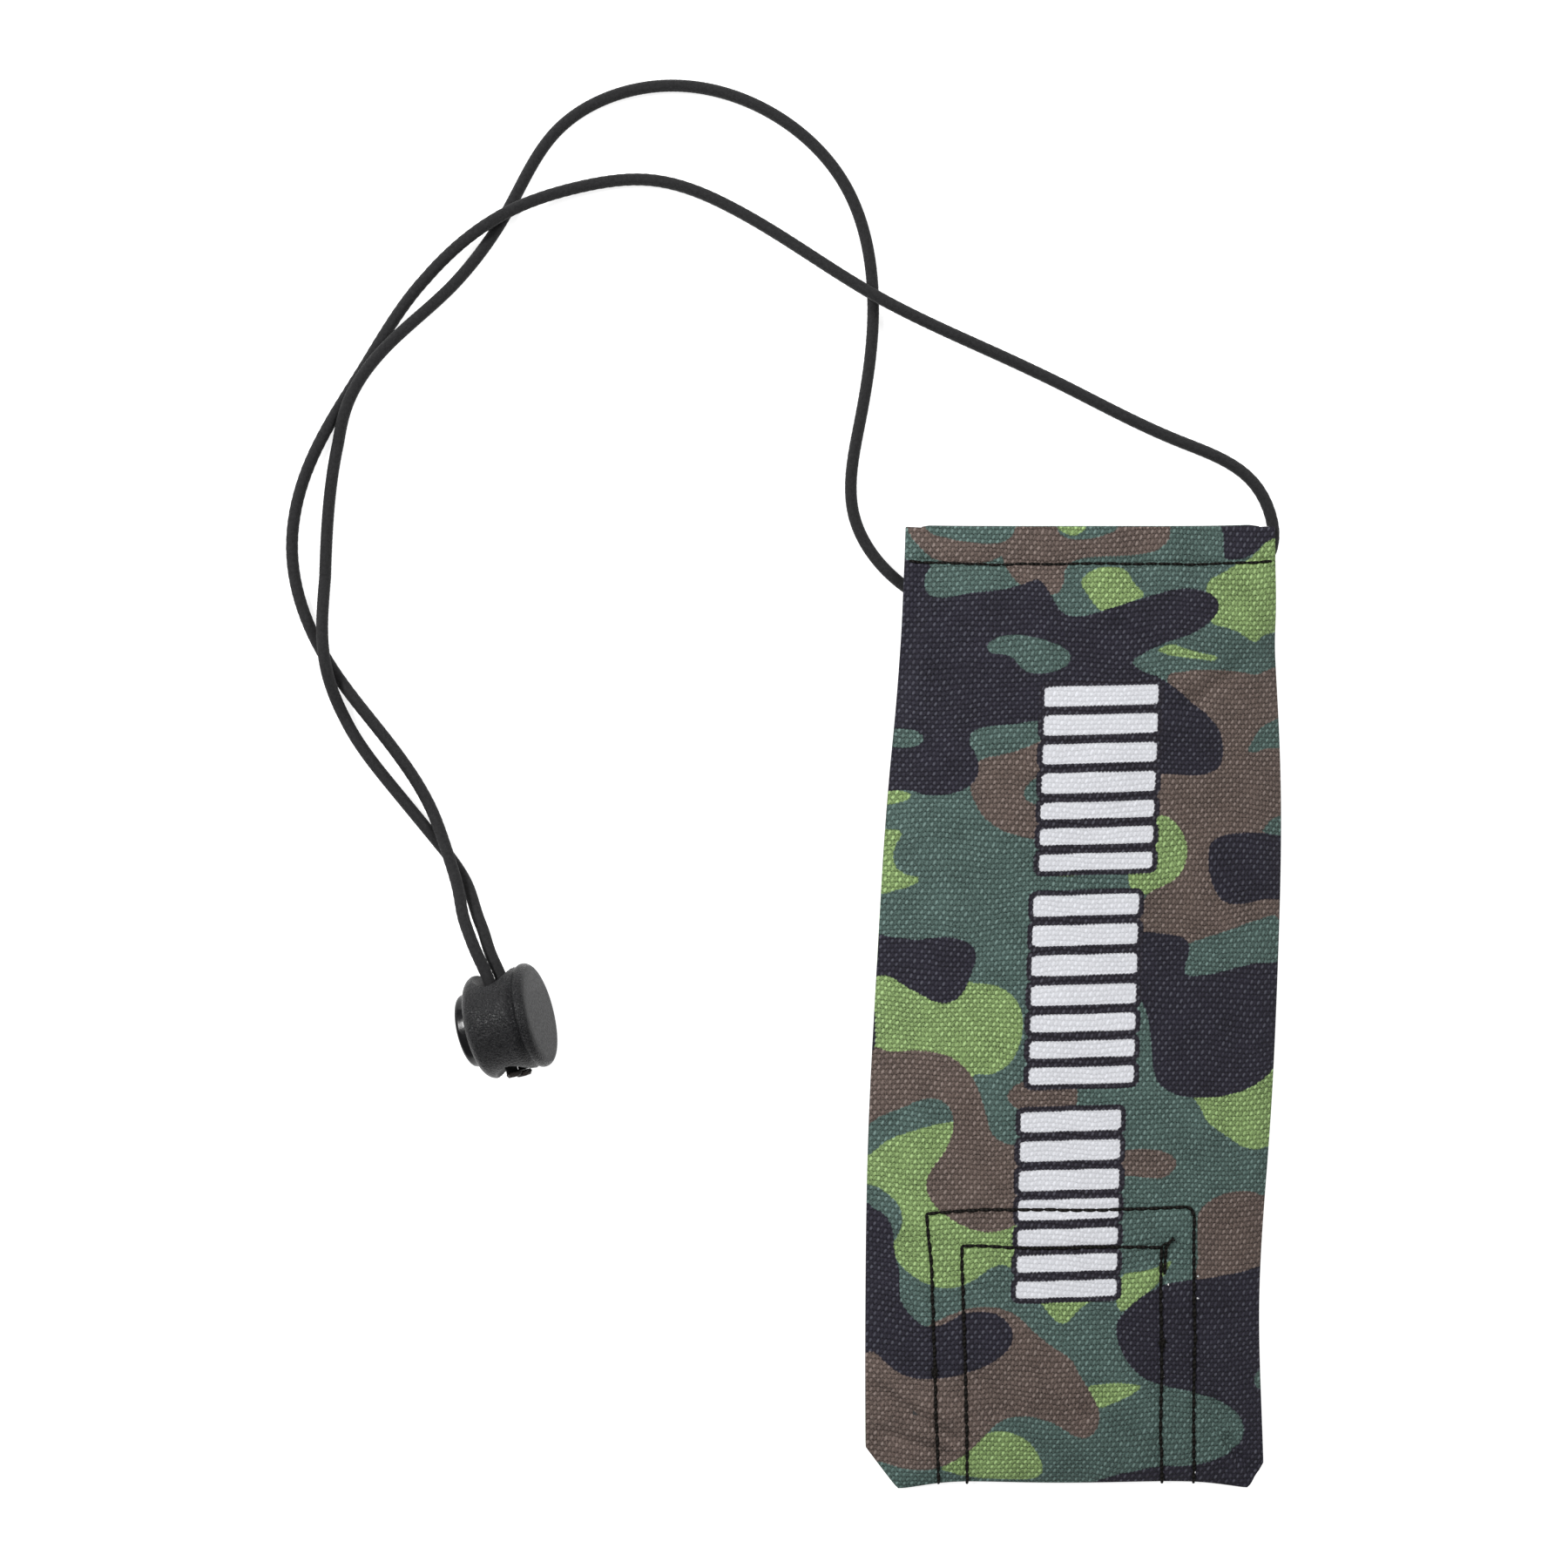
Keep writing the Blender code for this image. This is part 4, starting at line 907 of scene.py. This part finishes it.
        (8, 14, 12.5, 15.2, 15.9, 15, 19.4, 14.6, 21.7, 13.7, 22.5, 12, 22, 9.8, 21.5, 7.6, 22.2, 6.5,
         24.6, 6.5, 28, 7, 32.1, 8, 35.6, 8.7, 38.6, 8.8, 45, 8, 46, -4, 44, -10, 39.9, -12.5, 37.7, -14.4,
         34.2, -16.3, 30.1, -17.4, 25.5, -17.8, 21.4, -17.5, 18.4, -16.4, 16.2, -14.6, 15.3, -12.2,
         15, -9.3, 14.7, -5.8, 14.4, -3, 13.5, 0.2, 12.4, 2.1, 11, 3, 7, 5),
        (-44, -40.4, -39.3, -40.6, -37.3, -42, -36.1, -44.7, -36, -47.4, -35.6, -49.8, -34.9, -52.6,
         -34.9, -55.6, -34.5, -58.6, -32.6, -61.2, -30.3, -63, -28, -63.2, -25.4, -62.3, -23.2, -60.9,
         -20.6, -60.1, -17.2, -60.1, -14.9, -61, -13.2, -62.7, -12.6, -65, -13.5, -67.3, -15.5, -69.3,
         -18.4, -71, -22.4, -72.5, -25.9, -73.4, -29.9, -73.8, -33, -73.5, -35.6, -72.4, -37.9, -70.6,
         -40, -68.9, -45, -67.6),
        (44, -51.6, 37.4, -51.9, 34.1, -52.6, 29.4, -53.3, 24.8, -53.8, 21.9, -54, 18.7, -54.3, 16.6, -55.1,
         13.7, -56.4, 11.3, -58.2, 9.4, -60, 8.1, -61.8, 7.8, -64, 8.4, -66.5, 9.6, -69.2, 11.5, -71.6,
         13.9, -73.5, 17.4, -74.8, 21.4, -75.8, 24.9, -76.8, 28.3, -78, 31.2, -79.8, 33.1, -82, 33.9, -84.6,
         32.9, -87.2, 30.8, -88.9, 28, -90.3, 24.6, -91.1, 21.1, -91.4, 17.7, -91.5, 14.2, -92, 10.8, -92.8,
         7.3, -93.7, 3, -96, 6, -101, 46, -101),
        (-43, 2, -39.9, 0, -39.5, -4, -39.8, -8.4, -43, -10),
    ),
    "green": (
        (-17.9, 72.2, -16.4, 73.6, -13.6, 74.4, -9.6, 74.2, -6.2, 73.3, -3.1, 72, -1.6, 70.5, -2, 68.7,
         -4, 67.4, -7.4, 66.6, -10.2, 67.1, -11.9, 68.6, -12.9, 69.9, -14.8, 70.5, -17, 70.8),
        (43, 58, 38, 56.4, 36.4, 55.1, 35, 53, 34.1, 51.2, 35.7, 50.9, 38.2, 51.6, 43, 52.4),
        (-10.6, 43, -9.7, 44.5, -7.7, 46.1, -4.8, 46.8, -1, 46, 0, 43, -2, 41.5, -4.8, 41, -7.1, 40.3,
         -9.2, 40.8, -10.3, 41.7),
        (44, 38.6, 39.6, 37.6, 38.2, 36.3, 37.4, 35.1, 39.5, 34.4, 44, 34.4),
        (41, -71, 37.4, -72.4, 36, -74, 36.3, -75.8, 38.2, -76.8, 41, -77),
    ),
}


def smooth_loop(knots, parts=6):
    """A closed Catmull-Rom curve through the knots."""
    knots = np.reshape(knots, (-1, 2)).astype(float)
    before, after = np.roll(knots, 1, 0), np.roll(knots, -1, 0)
    beyond = np.roll(knots, -2, 0)
    rows = []
    for t in np.arange(parts) / parts:
        square = (2 * before - 5 * knots + 4 * after - beyond) * t**2
        cube = (3 * knots - before - 3 * after + beyond) * t**3
        rows.append(0.5 * (2 * knots + (after - before) * t + square + cube))
    return np.stack(rows, 1).reshape(-1, 2)


FAR = 9.0  # mm, stored where an outline is further off
NEAR = 3.0  # mm round an outline within which its distance is worked out


def outline_distance(places, outline, found):
    """Lowers found to each place's distance from a closed outline, which is negative inside."""
    near = ((places > outline.min(0) - NEAR) & (places < outline.max(0) + NEAR)).all(1)
    if not near.any():
        return
    x, y = places[near].T
    best = np.full(len(x), FAR)
    inside = np.zeros(len(x), bool)
    for a, b in zip(outline, np.roll(outline, -1, 0)):
        best = np.minimum(best, leg_distance(x, y, a, b))
        if a[1] != b[1]:
            inside ^= ((a[1] > y) != (b[1] > y)) & (x < a[0] + (b[0] - a[0]) * (y - a[1]) / (b[1] - a[1]))
    found[near] = np.minimum(found[near], np.where(inside, -best, best))


MARK_GROUPS = (  # top middle x and y, half width, length, in mm
    (4.6, 64.2, 11.2, 36.6), (1.9, 22.6, 10.4, 37.4), (-1.1, -20.2, 9.9, 36.8))
MARK_UNITS = 37
MARK_BARS = (4.0, 4.0, 4.0, 4.0, 3.3, 3.3, 3.3)  # heights, of which the group's length holds MARK_UNITS
MARK_LEAN = math.radians(1.6)
MARK_ROUND = 0.6


def mark_shapes():
    """Plain bars across the sleeve, in three groups, as the four corners that their round ends turn about."""
    shapes = []
    for middle, top, half, length in MARK_GROUPS:
        unit = length / MARK_UNITS
        gap = (length - unit * sum(MARK_BARS)) / (len(MARK_BARS) - 1)
        start = 0.0
        for bar in MARK_BARS:
            end = start + bar * unit
            corners = []
            for x, down in ((-half, start), (half, start), (half, end), (-half, end)):
                x -= math.copysign(MARK_ROUND, x)
                down += MARK_ROUND if down == start else -MARK_ROUND
                corners.append((middle - down / length + x * math.cos(MARK_LEAN),
                                top - down + x * math.sin(MARK_LEAN)))
            shapes.append(np.array(corners))
            start = end + gap
    return shapes


def store_print(sheet, flat, with_marks):
    """Distances in mm from each vertex to the edges of the print's layers."""
    for layer, outlines in BLOBS.items():
        found = np.full(len(flat), FAR)
        for outline in outlines:
            outline_distance(flat, smooth_loop(outline), found)
        store(sheet.data, layer, found)
    found = np.full(len(flat), FAR)
    if with_marks:
        for outline in mark_shapes():
            outline_distance(flat, outline, found)
        found -= MARK_ROUND
    store(sheet.data, "mark", found)


# ---------------------------------------------------------------- sleeve, stitching and keeper

def front_surface(u, y, x):
    return front_height(u, y) + relief(x / MM, y / MM) * MM


def back_surface(u, y, x):
    ripple = 0.1 * np.sin(x / MM / 8.0 + 0.7) * np.sin(y / MM / 11.0) * (1 - np.abs(u)) ** 0.5
    groove = 0.22 * np.exp(-(((y / MM - HEM_ROW) / 0.75) ** 2))
    return back_height(u, y) + (np.maximum(ripple, 0) * 0.6 + groove) * MM


BACK_PRINT_SHIFT = np.array((1.5, 6.0))  # mm


def add_sleeve():
    printed = MATERIAL["cloth"]
    plain = MATERIAL["lining"]
    """Both faces of the sleeve. The back has the same print, turned half round and shifted."""
    front, flat = cloth_sheet("front_cloth", 1, front_surface, (printed, plain))
    store_print(front, flat, with_marks=True)
    back, flat = cloth_sheet("back_cloth", -1, back_surface, (printed, plain))
    turned = -flat - BACK_PRINT_SHIFT
    store_print(back, turned, with_marks=False)
    for sheet, nodes in ((front, ("front_panel", "front_hem")), (back, ("back_panel", "back_hem"))):
        settle(sheet, "sleeve", nodes)


def front_top(x, y):
    """Height in m of the cloth's upper face at places in mm."""
    x, y = np.asarray(x) * MM, np.asarray(y) * MM
    return front_surface(across_sleeve(x, y), y, x) + CLOTH / 2


def back_bottom(x, y):
    """Height in m of the back's lower face at places in mm."""
    x, y = np.asarray(x) * MM, np.asarray(y) * MM
    return back_surface(across_sleeve(x, y), y, x) - CLOTH / 2


STITCH = 2.6  # mm from one needle hole to the next
THREAD_RADIUS = 0.33 * MM
HEM_THREAD_RADIUS = 0.27 * MM
FINE_THREAD_RADIUS = 0.2 * MM
INNER_BACKTACK = ((17.8, -47.0), (17.5, -52.6))  # sewn a second time, beside the row
OUTER_KNOT = (-28.1, -72.3)
INNER_KNOT = (16.9, -66.2)
CUT_ENDS = (
    ((16.9, -47.4), (17.3, -46.6), (18.2, -46.2), (18.9, -45.7), (19.5, -45.9)),
    ((17.6, -47.6), (18.1, -46.9), (18.5, -46.1), (19.2, -45.3)))


class Strands:
    """Gathers lengths of thread into one mesh."""

    def __init__(self):
        self.verts, self.faces, self.twist, self.count = [], [], [], 0

    def add(self, points, radius, sides=8, pitch=0.8 * MM):
        points = np.array(points, float)
        verts, faces = tube(points, radius, sides)
        along = np.concatenate([[0], np.cumsum(np.linalg.norm(np.diff(points, axis=0), axis=1))])
        self.twist.append((along[:, None] / pitch + np.arange(sides)[None, :] / sides).ravel())
        self.verts.append(verts)
        self.faces += [tuple(i + self.count for i in face) for face in faces]
        self.count += len(verts)

    def piece(self, name, nodes, body="sleeve", material="thread"):
        obj = mesh_of(name, np.concatenate(self.verts), self.faces, MATERIAL[material])
        store(obj.data, "twist", np.concatenate(self.twist))
        return settle(obj, body, nodes)


def add_stitches(strands, path, height, side, rng, radius=THREAD_RADIUS):
    """A row of lockstitches: each rises out of one needle hole and goes down into the next."""
    path = spaced(np.array(path, float), STITCH)
    for a, b in zip(path[:-1], path[1:]):
        t = np.linspace(0.02, 0.98, 9)
        wander = rng.uniform(-0.07, 0.07)
        across = np.array([-(b - a)[1], (b - a)[0]]) / max(np.hypot(*(b - a)), 1e-9)
        flat = a + (b - a) * t[:, None] + across * (wander * np.sin(math.pi * t))[:, None]
        hump = np.sin(math.pi * t) ** 0.55
        z = height(flat[:, 0], flat[:, 1]) + side * (radius * (1.75 * hump - 1.0))
        ring = radius * (0.75 + 0.3 * np.sin(math.pi * t) ** 0.5)
        place = flat * MM
        if side > 0:
            place[:, 1] -= drawn_back(across_sleeve(place[:, 0], place[:, 1]), place[:, 1])
        strands.add(np.column_stack([place, z]), ring[:, None])


def add_stitching():
    rng = np.random.default_rng(11)
    left, right = side_edges(HEM_ROW * MM)
    hem = [(x, HEM_ROW + 0.12 * math.sin(x / 7.0 + 1) + 0.07 * math.sin(x / 2.1))
           for x in np.linspace(left / MM + 0.7, right / MM - 0.7, 60)]
    for name, node, height, side in (("hem_thread_front", "hem_stitch_front", front_top, 1),
                                     ("hem_thread_back", "hem_stitch_back", back_bottom, -1)):
        strands = Strands()
        add_stitches(strands, hem, height, side, rng, HEM_THREAD_RADIUS)
        strands.piece(name, (node,))
    outer = Strands()
    for leg in OUTER_ROW:
        add_stitches(outer, leg, front_top, 1, rng)
    add_knot(outer, OUTER_KNOT, rng)
    outer.piece("patch_thread_outer", ("patch_stitch_outer",))
    inner = Strands()
    for leg in (*INNER_ROW, INNER_BACKTACK):
        add_stitches(inner, leg, front_top, 1, rng)
    add_knot(inner, INNER_KNOT, rng)
    # Cut ends of thread at the row's upper right corner
    for points in CUT_ENDS:
        line = smooth_curve(np.column_stack([np.array(points), np.zeros(len(points))]), 0.25)
        rise = 0.15 + 0.5 * np.sin(np.linspace(0.3, 2.6, len(line)))
        z = front_top(line[:, 0], line[:, 1]) + rise * MM
        inner.add(np.column_stack([line[:, :2] * MM, z]), FINE_THREAD_RADIUS)
    inner.piece("patch_thread_inner", ("patch_stitch_inner",))


def add_knot(strands, place, rng):
    """A few short turns of thread on each other, where a row was sewn over twice."""
    for _ in range(12):
        angle = rng.uniform(0, math.pi)
        reach = rng.uniform(0.6, 1.0)
        t = np.linspace(-1, 1, 7)
        x = place[0] + reach * t * math.cos(angle) * 0.75 + 0.15 * t**2
        y = place[1] + reach * t * math.sin(angle) + rng.uniform(-0.2, 0.2)
        z = front_top(x, y) + (0.25 + 0.2 * (1 - t * t)) * MM
        strands.add(np.column_stack([x * MM, y * MM, z]), FINE_THREAD_RADIUS)


FLECKS = ((24.3, -53.2), (24.2, -57.6), (18.2, -54.6), (23.7, -83.7), (24.2, -93.0), (17.2, -73.0))


def add_flecks():
    """White fibre that the needle pulled up out of the printed cloth."""
    rng = np.random.default_rng(5)
    strands = Strands()
    for x, y in FLECKS:
        for _ in range(3):
            angle = rng.uniform(0, 2 * math.pi)
            t = np.linspace(-1, 1, 5)
            px = x + 0.2 * t * math.cos(angle) + rng.uniform(-0.1, 0.1)
            py = y + 0.2 * t * math.sin(angle) + rng.uniform(-0.1, 0.1)
            z = front_top(px, py) + (0.05 + 0.13 * (1 - t * t)) * MM
            strands.add(np.column_stack([px * MM, py * MM, z]), 0.06 * MM, sides=5)
    strands.piece("needle_flecks", (), material="lint")


KEEPER_X, KEEPER_HALF = 2.9, 10.0
KEEPER_TOP, KEEPER_BOTTOM, KEEPER_CORD_Y = 87.4, 66.6, 77.0
KEEPER_FLAT, KEEPER_BOW = 1.4, 5.8
KEEPER_THICKNESS = 0.6 * MM
KEEPER_RIB = 0.62  # mm from one rib of its weave to the next
BARTACK_TURNS = 34
BARTACK_HALF = 9.0
BARTACK_DEPTH = 1.6


def keeper_height(y):
    """Height in m of the middle of the keeper strip at y in mm."""
    against_back = lift(np.zeros(np.shape(y)), y * MM) - 0.25 * MM - KEEPER_THICKNESS / 2
    lowest = KEEPER_THICKNESS / 2 + 0.05 * MM
    ease = smooth_step((np.abs(y - KEEPER_CORD_Y) - KEEPER_FLAT) / (KEEPER_BOW - KEEPER_FLAT))
    return lowest + (np.maximum(against_back, lowest) - lowest) * ease


def add_keeper():
    xs = np.linspace(-KEEPER_HALF, KEEPER_HALF, 81)
    ys = np.linspace(KEEPER_BOTTOM, KEEPER_TOP, 121)
    grid_x, grid_y = np.meshgrid(xs, ys)
    selvedge = np.clip((KEEPER_HALF - np.abs(grid_x)) / 0.5, 0, 1)
    ribs = 0.05 * np.cos(2 * math.pi * grid_y / KEEPER_RIB) * selvedge
    z = keeper_height(grid_y) + ribs * MM
    points = np.column_stack([(grid_x.ravel() + KEEPER_X) * MM, grid_y.ravel() * MM, z.ravel()])
    width = len(xs)
    faces = [(a, a + 1, a + width + 1, a + width)
             for r in range(len(ys) - 1) for a in range(r * width, r * width + width - 1)]
    strip = mesh_of("keeper_webbing", points, faces, MATERIAL["webbing"])
    store(strip.data, "across", grid_x.ravel())
    store(strip.data, "along", grid_y.ravel())
    solid = strip.modifiers.new("Thickness", "SOLIDIFY")
    solid.thickness = KEEPER_THICKNESS - 0.1 * MM
    solid.offset = 0
    settle(strip, "sleeve", ("cord_keeper",))
    for name, node, middle in (("upper_bartack", "keeper_bartack_upper", KEEPER_TOP - 1.5),
                               ("lower_bartack", "keeper_bartack_lower", KEEPER_BOTTOM + 1.5)):
        strands = Strands()
        count = 2 * BARTACK_TURNS + 1
        x = KEEPER_X + BARTACK_HALF * np.linspace(-1, 1, count)
        y = middle + BARTACK_DEPTH / 2 * (-1.0) ** np.arange(count)
        line = spaced(np.column_stack([x, y]), 0.4)
        z = keeper_height(line[:, 1]) - KEEPER_THICKNESS / 2 - 0.12 * MM
        strands.add(np.column_stack([line * MM, z]), 0.15 * MM, sides=6)
        strands.piece(name, (node,))


# ---------------------------------------------------------------- lock, floor and light

def arc(middle, radius, start, end, count=7):
    """Points of an arc of a turned profile, as (along the axis, distance from it)."""
    angles = np.radians(np.linspace(start, end, count))
    return [(middle[0] + radius * math.cos(a), middle[1] + radius * math.sin(a)) for a in angles]


def lathe(name, profile, origin, axes, widen=(1.0, 1.0), steps=128):
    """A closed solid turned about the first of three axes.

    Each point of the profile is (place along the axis, distance from it).
    """
    origin, axes = np.array(origin), np.array(axes)
    angles = np.linspace(0, 2 * math.pi, steps, endpoint=False)
    verts, rings = [], []
    for along, radius in profile:
        ring = range(len(verts), len(verts) + (steps if radius else 1))
        rings.append(ring)
        for a in angles[:len(ring)]:
            across = radius * widen[0] * math.cos(a) * axes[1] + radius * widen[1] * math.sin(a) * axes[2]
            verts.append(origin + along * axes[0] + across)
    faces = []
    for near, far in zip(rings[:-1], rings[1:]):
        for i in range(steps):
            j = (i + 1) % steps
            corners = [near[i % len(near)], near[j % len(near)], far[j % len(far)], far[i % len(far)]]
            faces.append(tuple(dict.fromkeys(corners)))
    solid = mesh_of(name, verts, faces, None)
    tidy = bmesh.new()
    tidy.from_mesh(solid.data)
    bmesh.ops.recalc_face_normals(tidy, faces=tidy.faces)
    tidy.to_mesh(solid.data)
    tidy.free()
    return solid


def hole_cutter(shift, width, flare):
    """The oval cord hole, as a solid: flare is 1 where it widens towards the barrel's sides, or 0."""
    shares = np.linspace(0, HOLE_FLARE[-1][0], 25)
    widths = 1 + flare * np.interp(shares, *zip(*HOLE_FLARE))
    half = [(share * BARREL_RADIUS, w) for share, w in zip(shares, widths)]
    reach = half[-1][0]
    profile = [(-reach, 0), *((-z, w) for z, w in half[:0:-1]), *half, (reach, 0)]
    origin = HOLE_CENTRE + shift * LOCK_AXIS
    return lathe("hole", profile, origin, (HOLE_AXIS, LOCK_UP, LOCK_AXIS), (HOLE_SIZE[1] / 2, width / 2), 96)


def carved(solid, cutter, voxel=None, passes=0):
    """The solid without what the cutter takes, with its edges softened by a fine remesh."""
    cut = solid.modifiers.new("Hole", "BOOLEAN")
    cut.object = cutter
    cut.solver = "EXACT"
    if voxel:
        remesh = solid.modifiers.new("Voxels", "REMESH")
        remesh.mode = "VOXEL"
        remesh.voxel_size = voxel
        soften = solid.modifiers.new("Soften", "SMOOTH")
        soften.factor = 0.5
        soften.iterations = passes
    bpy.context.view_layer.update()
    mesh = bpy.data.meshes.new_from_object(solid.evaluated_get(bpy.context.evaluated_depsgraph_get()))
    solid.modifiers.clear()
    solid.data = mesh
    bpy.data.objects.remove(cutter)


def lock_piece(solid, material, body, node):
    """Gives a finished piece of the lock its material and place, and marks its flat blind end as smooth."""
    mesh = solid.data
    mesh.materials.clear()
    mesh.materials.append(MATERIAL[material])
    mesh.shade_smooth()
    normals = np.array([tuple(v.normal) for v in mesh.vertices])
    store(mesh, "smooth", np.clip((normals @ np.array(LOCK_AXIS) - 0.75) / 0.2, 0, 1))
    return settle(solid, body, (node,))


def add_lock():
    """The housing, open towards its plunger, the plunger in it and the spring behind that."""
    axes = (LOCK_AXIS, HOLE_AXIS, LOCK_UP)
    low, high = -BARREL_LENGTH / 2, BARREL_LENGTH / 2
    shoulder, roll, edge = 1.9 * MM, 1.45 * MM, 0.3 * MM
    outer = BARREL_RADIUS - 0.05 * MM
    profile = [(high - END_WALL, 0), (high - END_WALL, BORE - edge), (high - END_WALL - edge, BORE),
               (low + edge, BORE), (low, BORE + edge)]
    profile += arc((low + shoulder, outer - shoulder), shoulder, 178, 90, 9)
    profile += [(high - 5 * MM, outer), (high - 4.1 * MM, outer), (high - 3.5 * MM, outer - 0.2 * MM),
                (high - 3.0 * MM, outer - 0.62 * MM), (high - 2.7 * MM, outer - 0.66 * MM),
                (high - 2.35 * MM, outer - 0.24 * MM)]
    profile += arc((high - roll - 0.2 * MM, outer - roll), roll, 112, 12, 11)
    profile += [(high - 0.14 * MM, 0.8 * outer), (high - 0.06 * MM, 0.5 * outer), (high, 0.2 * outer)]
    profile.append((high, 0))
    housing = lathe("cord_lock_housing", profile, LOCK_CENTRE, axes)
    carved(housing, hole_cutter(0, HOLE_SIZE[0], 1), voxel=HOUSING_VOXEL, passes=HOUSING_PASSES)
    lock_piece(housing, "textured", "cord_lock", "lock_housing")
    low, high = PLUNGER_ENDS
    rounding = 0.8 * MM
    profile = [(low, 0), (low, 0.5 * PLUNGER_RADIUS), (low + 0.05 * MM, PLUNGER_RADIUS - 1.2 * rounding)]
    profile += arc((low + rounding, PLUNGER_RADIUS - rounding), rounding, 170, 90)
    profile += [(high - edge, PLUNGER_RADIUS), (high, PLUNGER_RADIUS - edge), (high, 0)]
    plunger = lathe("cord_lock_plunger", profile, LOCK_CENTRE, axes)
    carved(plunger, hole_cutter(-PLUNGER_TRAVEL / 2, HOLE_SIZE[0] + PLUNGER_TRAVEL, 0))
    lock_piece(plunger, "gloss", "plunger", "lock_plunger")
    return housing, plunger, add_spring()


def add_spring():
    """The coil behind the plunger, which the plunger presses flat against the blind end."""
    blind_end = BARREL_LENGTH / 2 - END_WALL
    slack = SPRING_WIRE / 2 + SPRING_GAP
    t = np.linspace(0, 1, 120)
    angle = SPRING_TURNS * 2 * math.pi * t
    radius = SPRING_RADII[0] + (SPRING_RADII[1] - SPRING_RADII[0]) * t
    along = blind_end - SPRING_ROOM + slack + (SPRING_ROOM - 2 * slack) * t
    places = np.column_stack([radius * np.cos(angle), radius * np.sin(angle), along])
    coil = Strands()
    coil.add(places @ np.array([HOLE_AXIS, LOCK_UP, LOCK_AXIS]) + np.array(LOCK_CENTRE), SPRING_WIRE / 2)
    spring = coil.piece("cord_lock_spring", ("lock_spring",), "cord_lock", "steel")
    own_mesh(spring)
    return spring


def dress_hidden_nodes():
    """The patch ply and the seams' thread lie inside the sleeve."""
    for node, material in (("impact_patch", "patch"), ("left_seam_stitch", "seam"),
                           ("right_seam_stitch", "seam"), ("bottom_seam_stitch", "seam")):
        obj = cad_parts[node]
        obj.data.materials.clear()
        obj.data.materials.append(MATERIAL[material])


FLOOR_HALF = 3.0
LIGHTS = (  # name, place, diameter in m, power in W
    ("key", (-0.62, 0.31, 0.75), 0.3, 10.0), ("side", (0.6, 0.5, 0.8), 0.5, 6.8))
LIGHT_AIM = (-0.04, 0.03, 0.0)
WORLD_STRENGTH = 0.22


def add_floor():
    corners = [(x * FLOOR_HALF, y * FLOOR_HALF, 0) for x, y in ((-1, -1), (1, -1), (1, 1), (-1, 1))]
    floor = mesh_of("floor", corners, [(0, 1, 2, 3)], floor_material(), smooth=False)
    floor.location.z = -0.02 * MM


def add_light(name, place, size, power):
    lamp = bpy.data.lights.new(name, "AREA")
    lamp.shape = "DISK"
    lamp.size = size
    lamp.energy = power
    obj = bpy.data.objects.new(name, lamp)
    bpy.context.scene.collection.objects.link(obj)
    obj.location = place
    obj.rotation_mode = "QUATERNION"
    obj.rotation_quaternion = (Vector(LIGHT_AIM) - Vector(place)).to_track_quat("-Z", "Y")


def add_lights():
    world = bpy.data.worlds.new("studio")
    bpy.context.scene.world = world
    world.use_nodes = True
    background = world.node_tree.nodes["Background"]
    background.inputs["Color"].default_value = (1, 1, 1, 1)
    background.inputs["Strength"].default_value = WORLD_STRENGTH
    for light in LIGHTS:
        add_light(*light)
    bpy.context.scene.view_settings.view_transform = "Standard"


add_camera()
add_cord()
add_sleeve()
add_stitching()
add_flecks()
add_keeper()
dress_hidden_nodes()
add_floor()
add_lights()
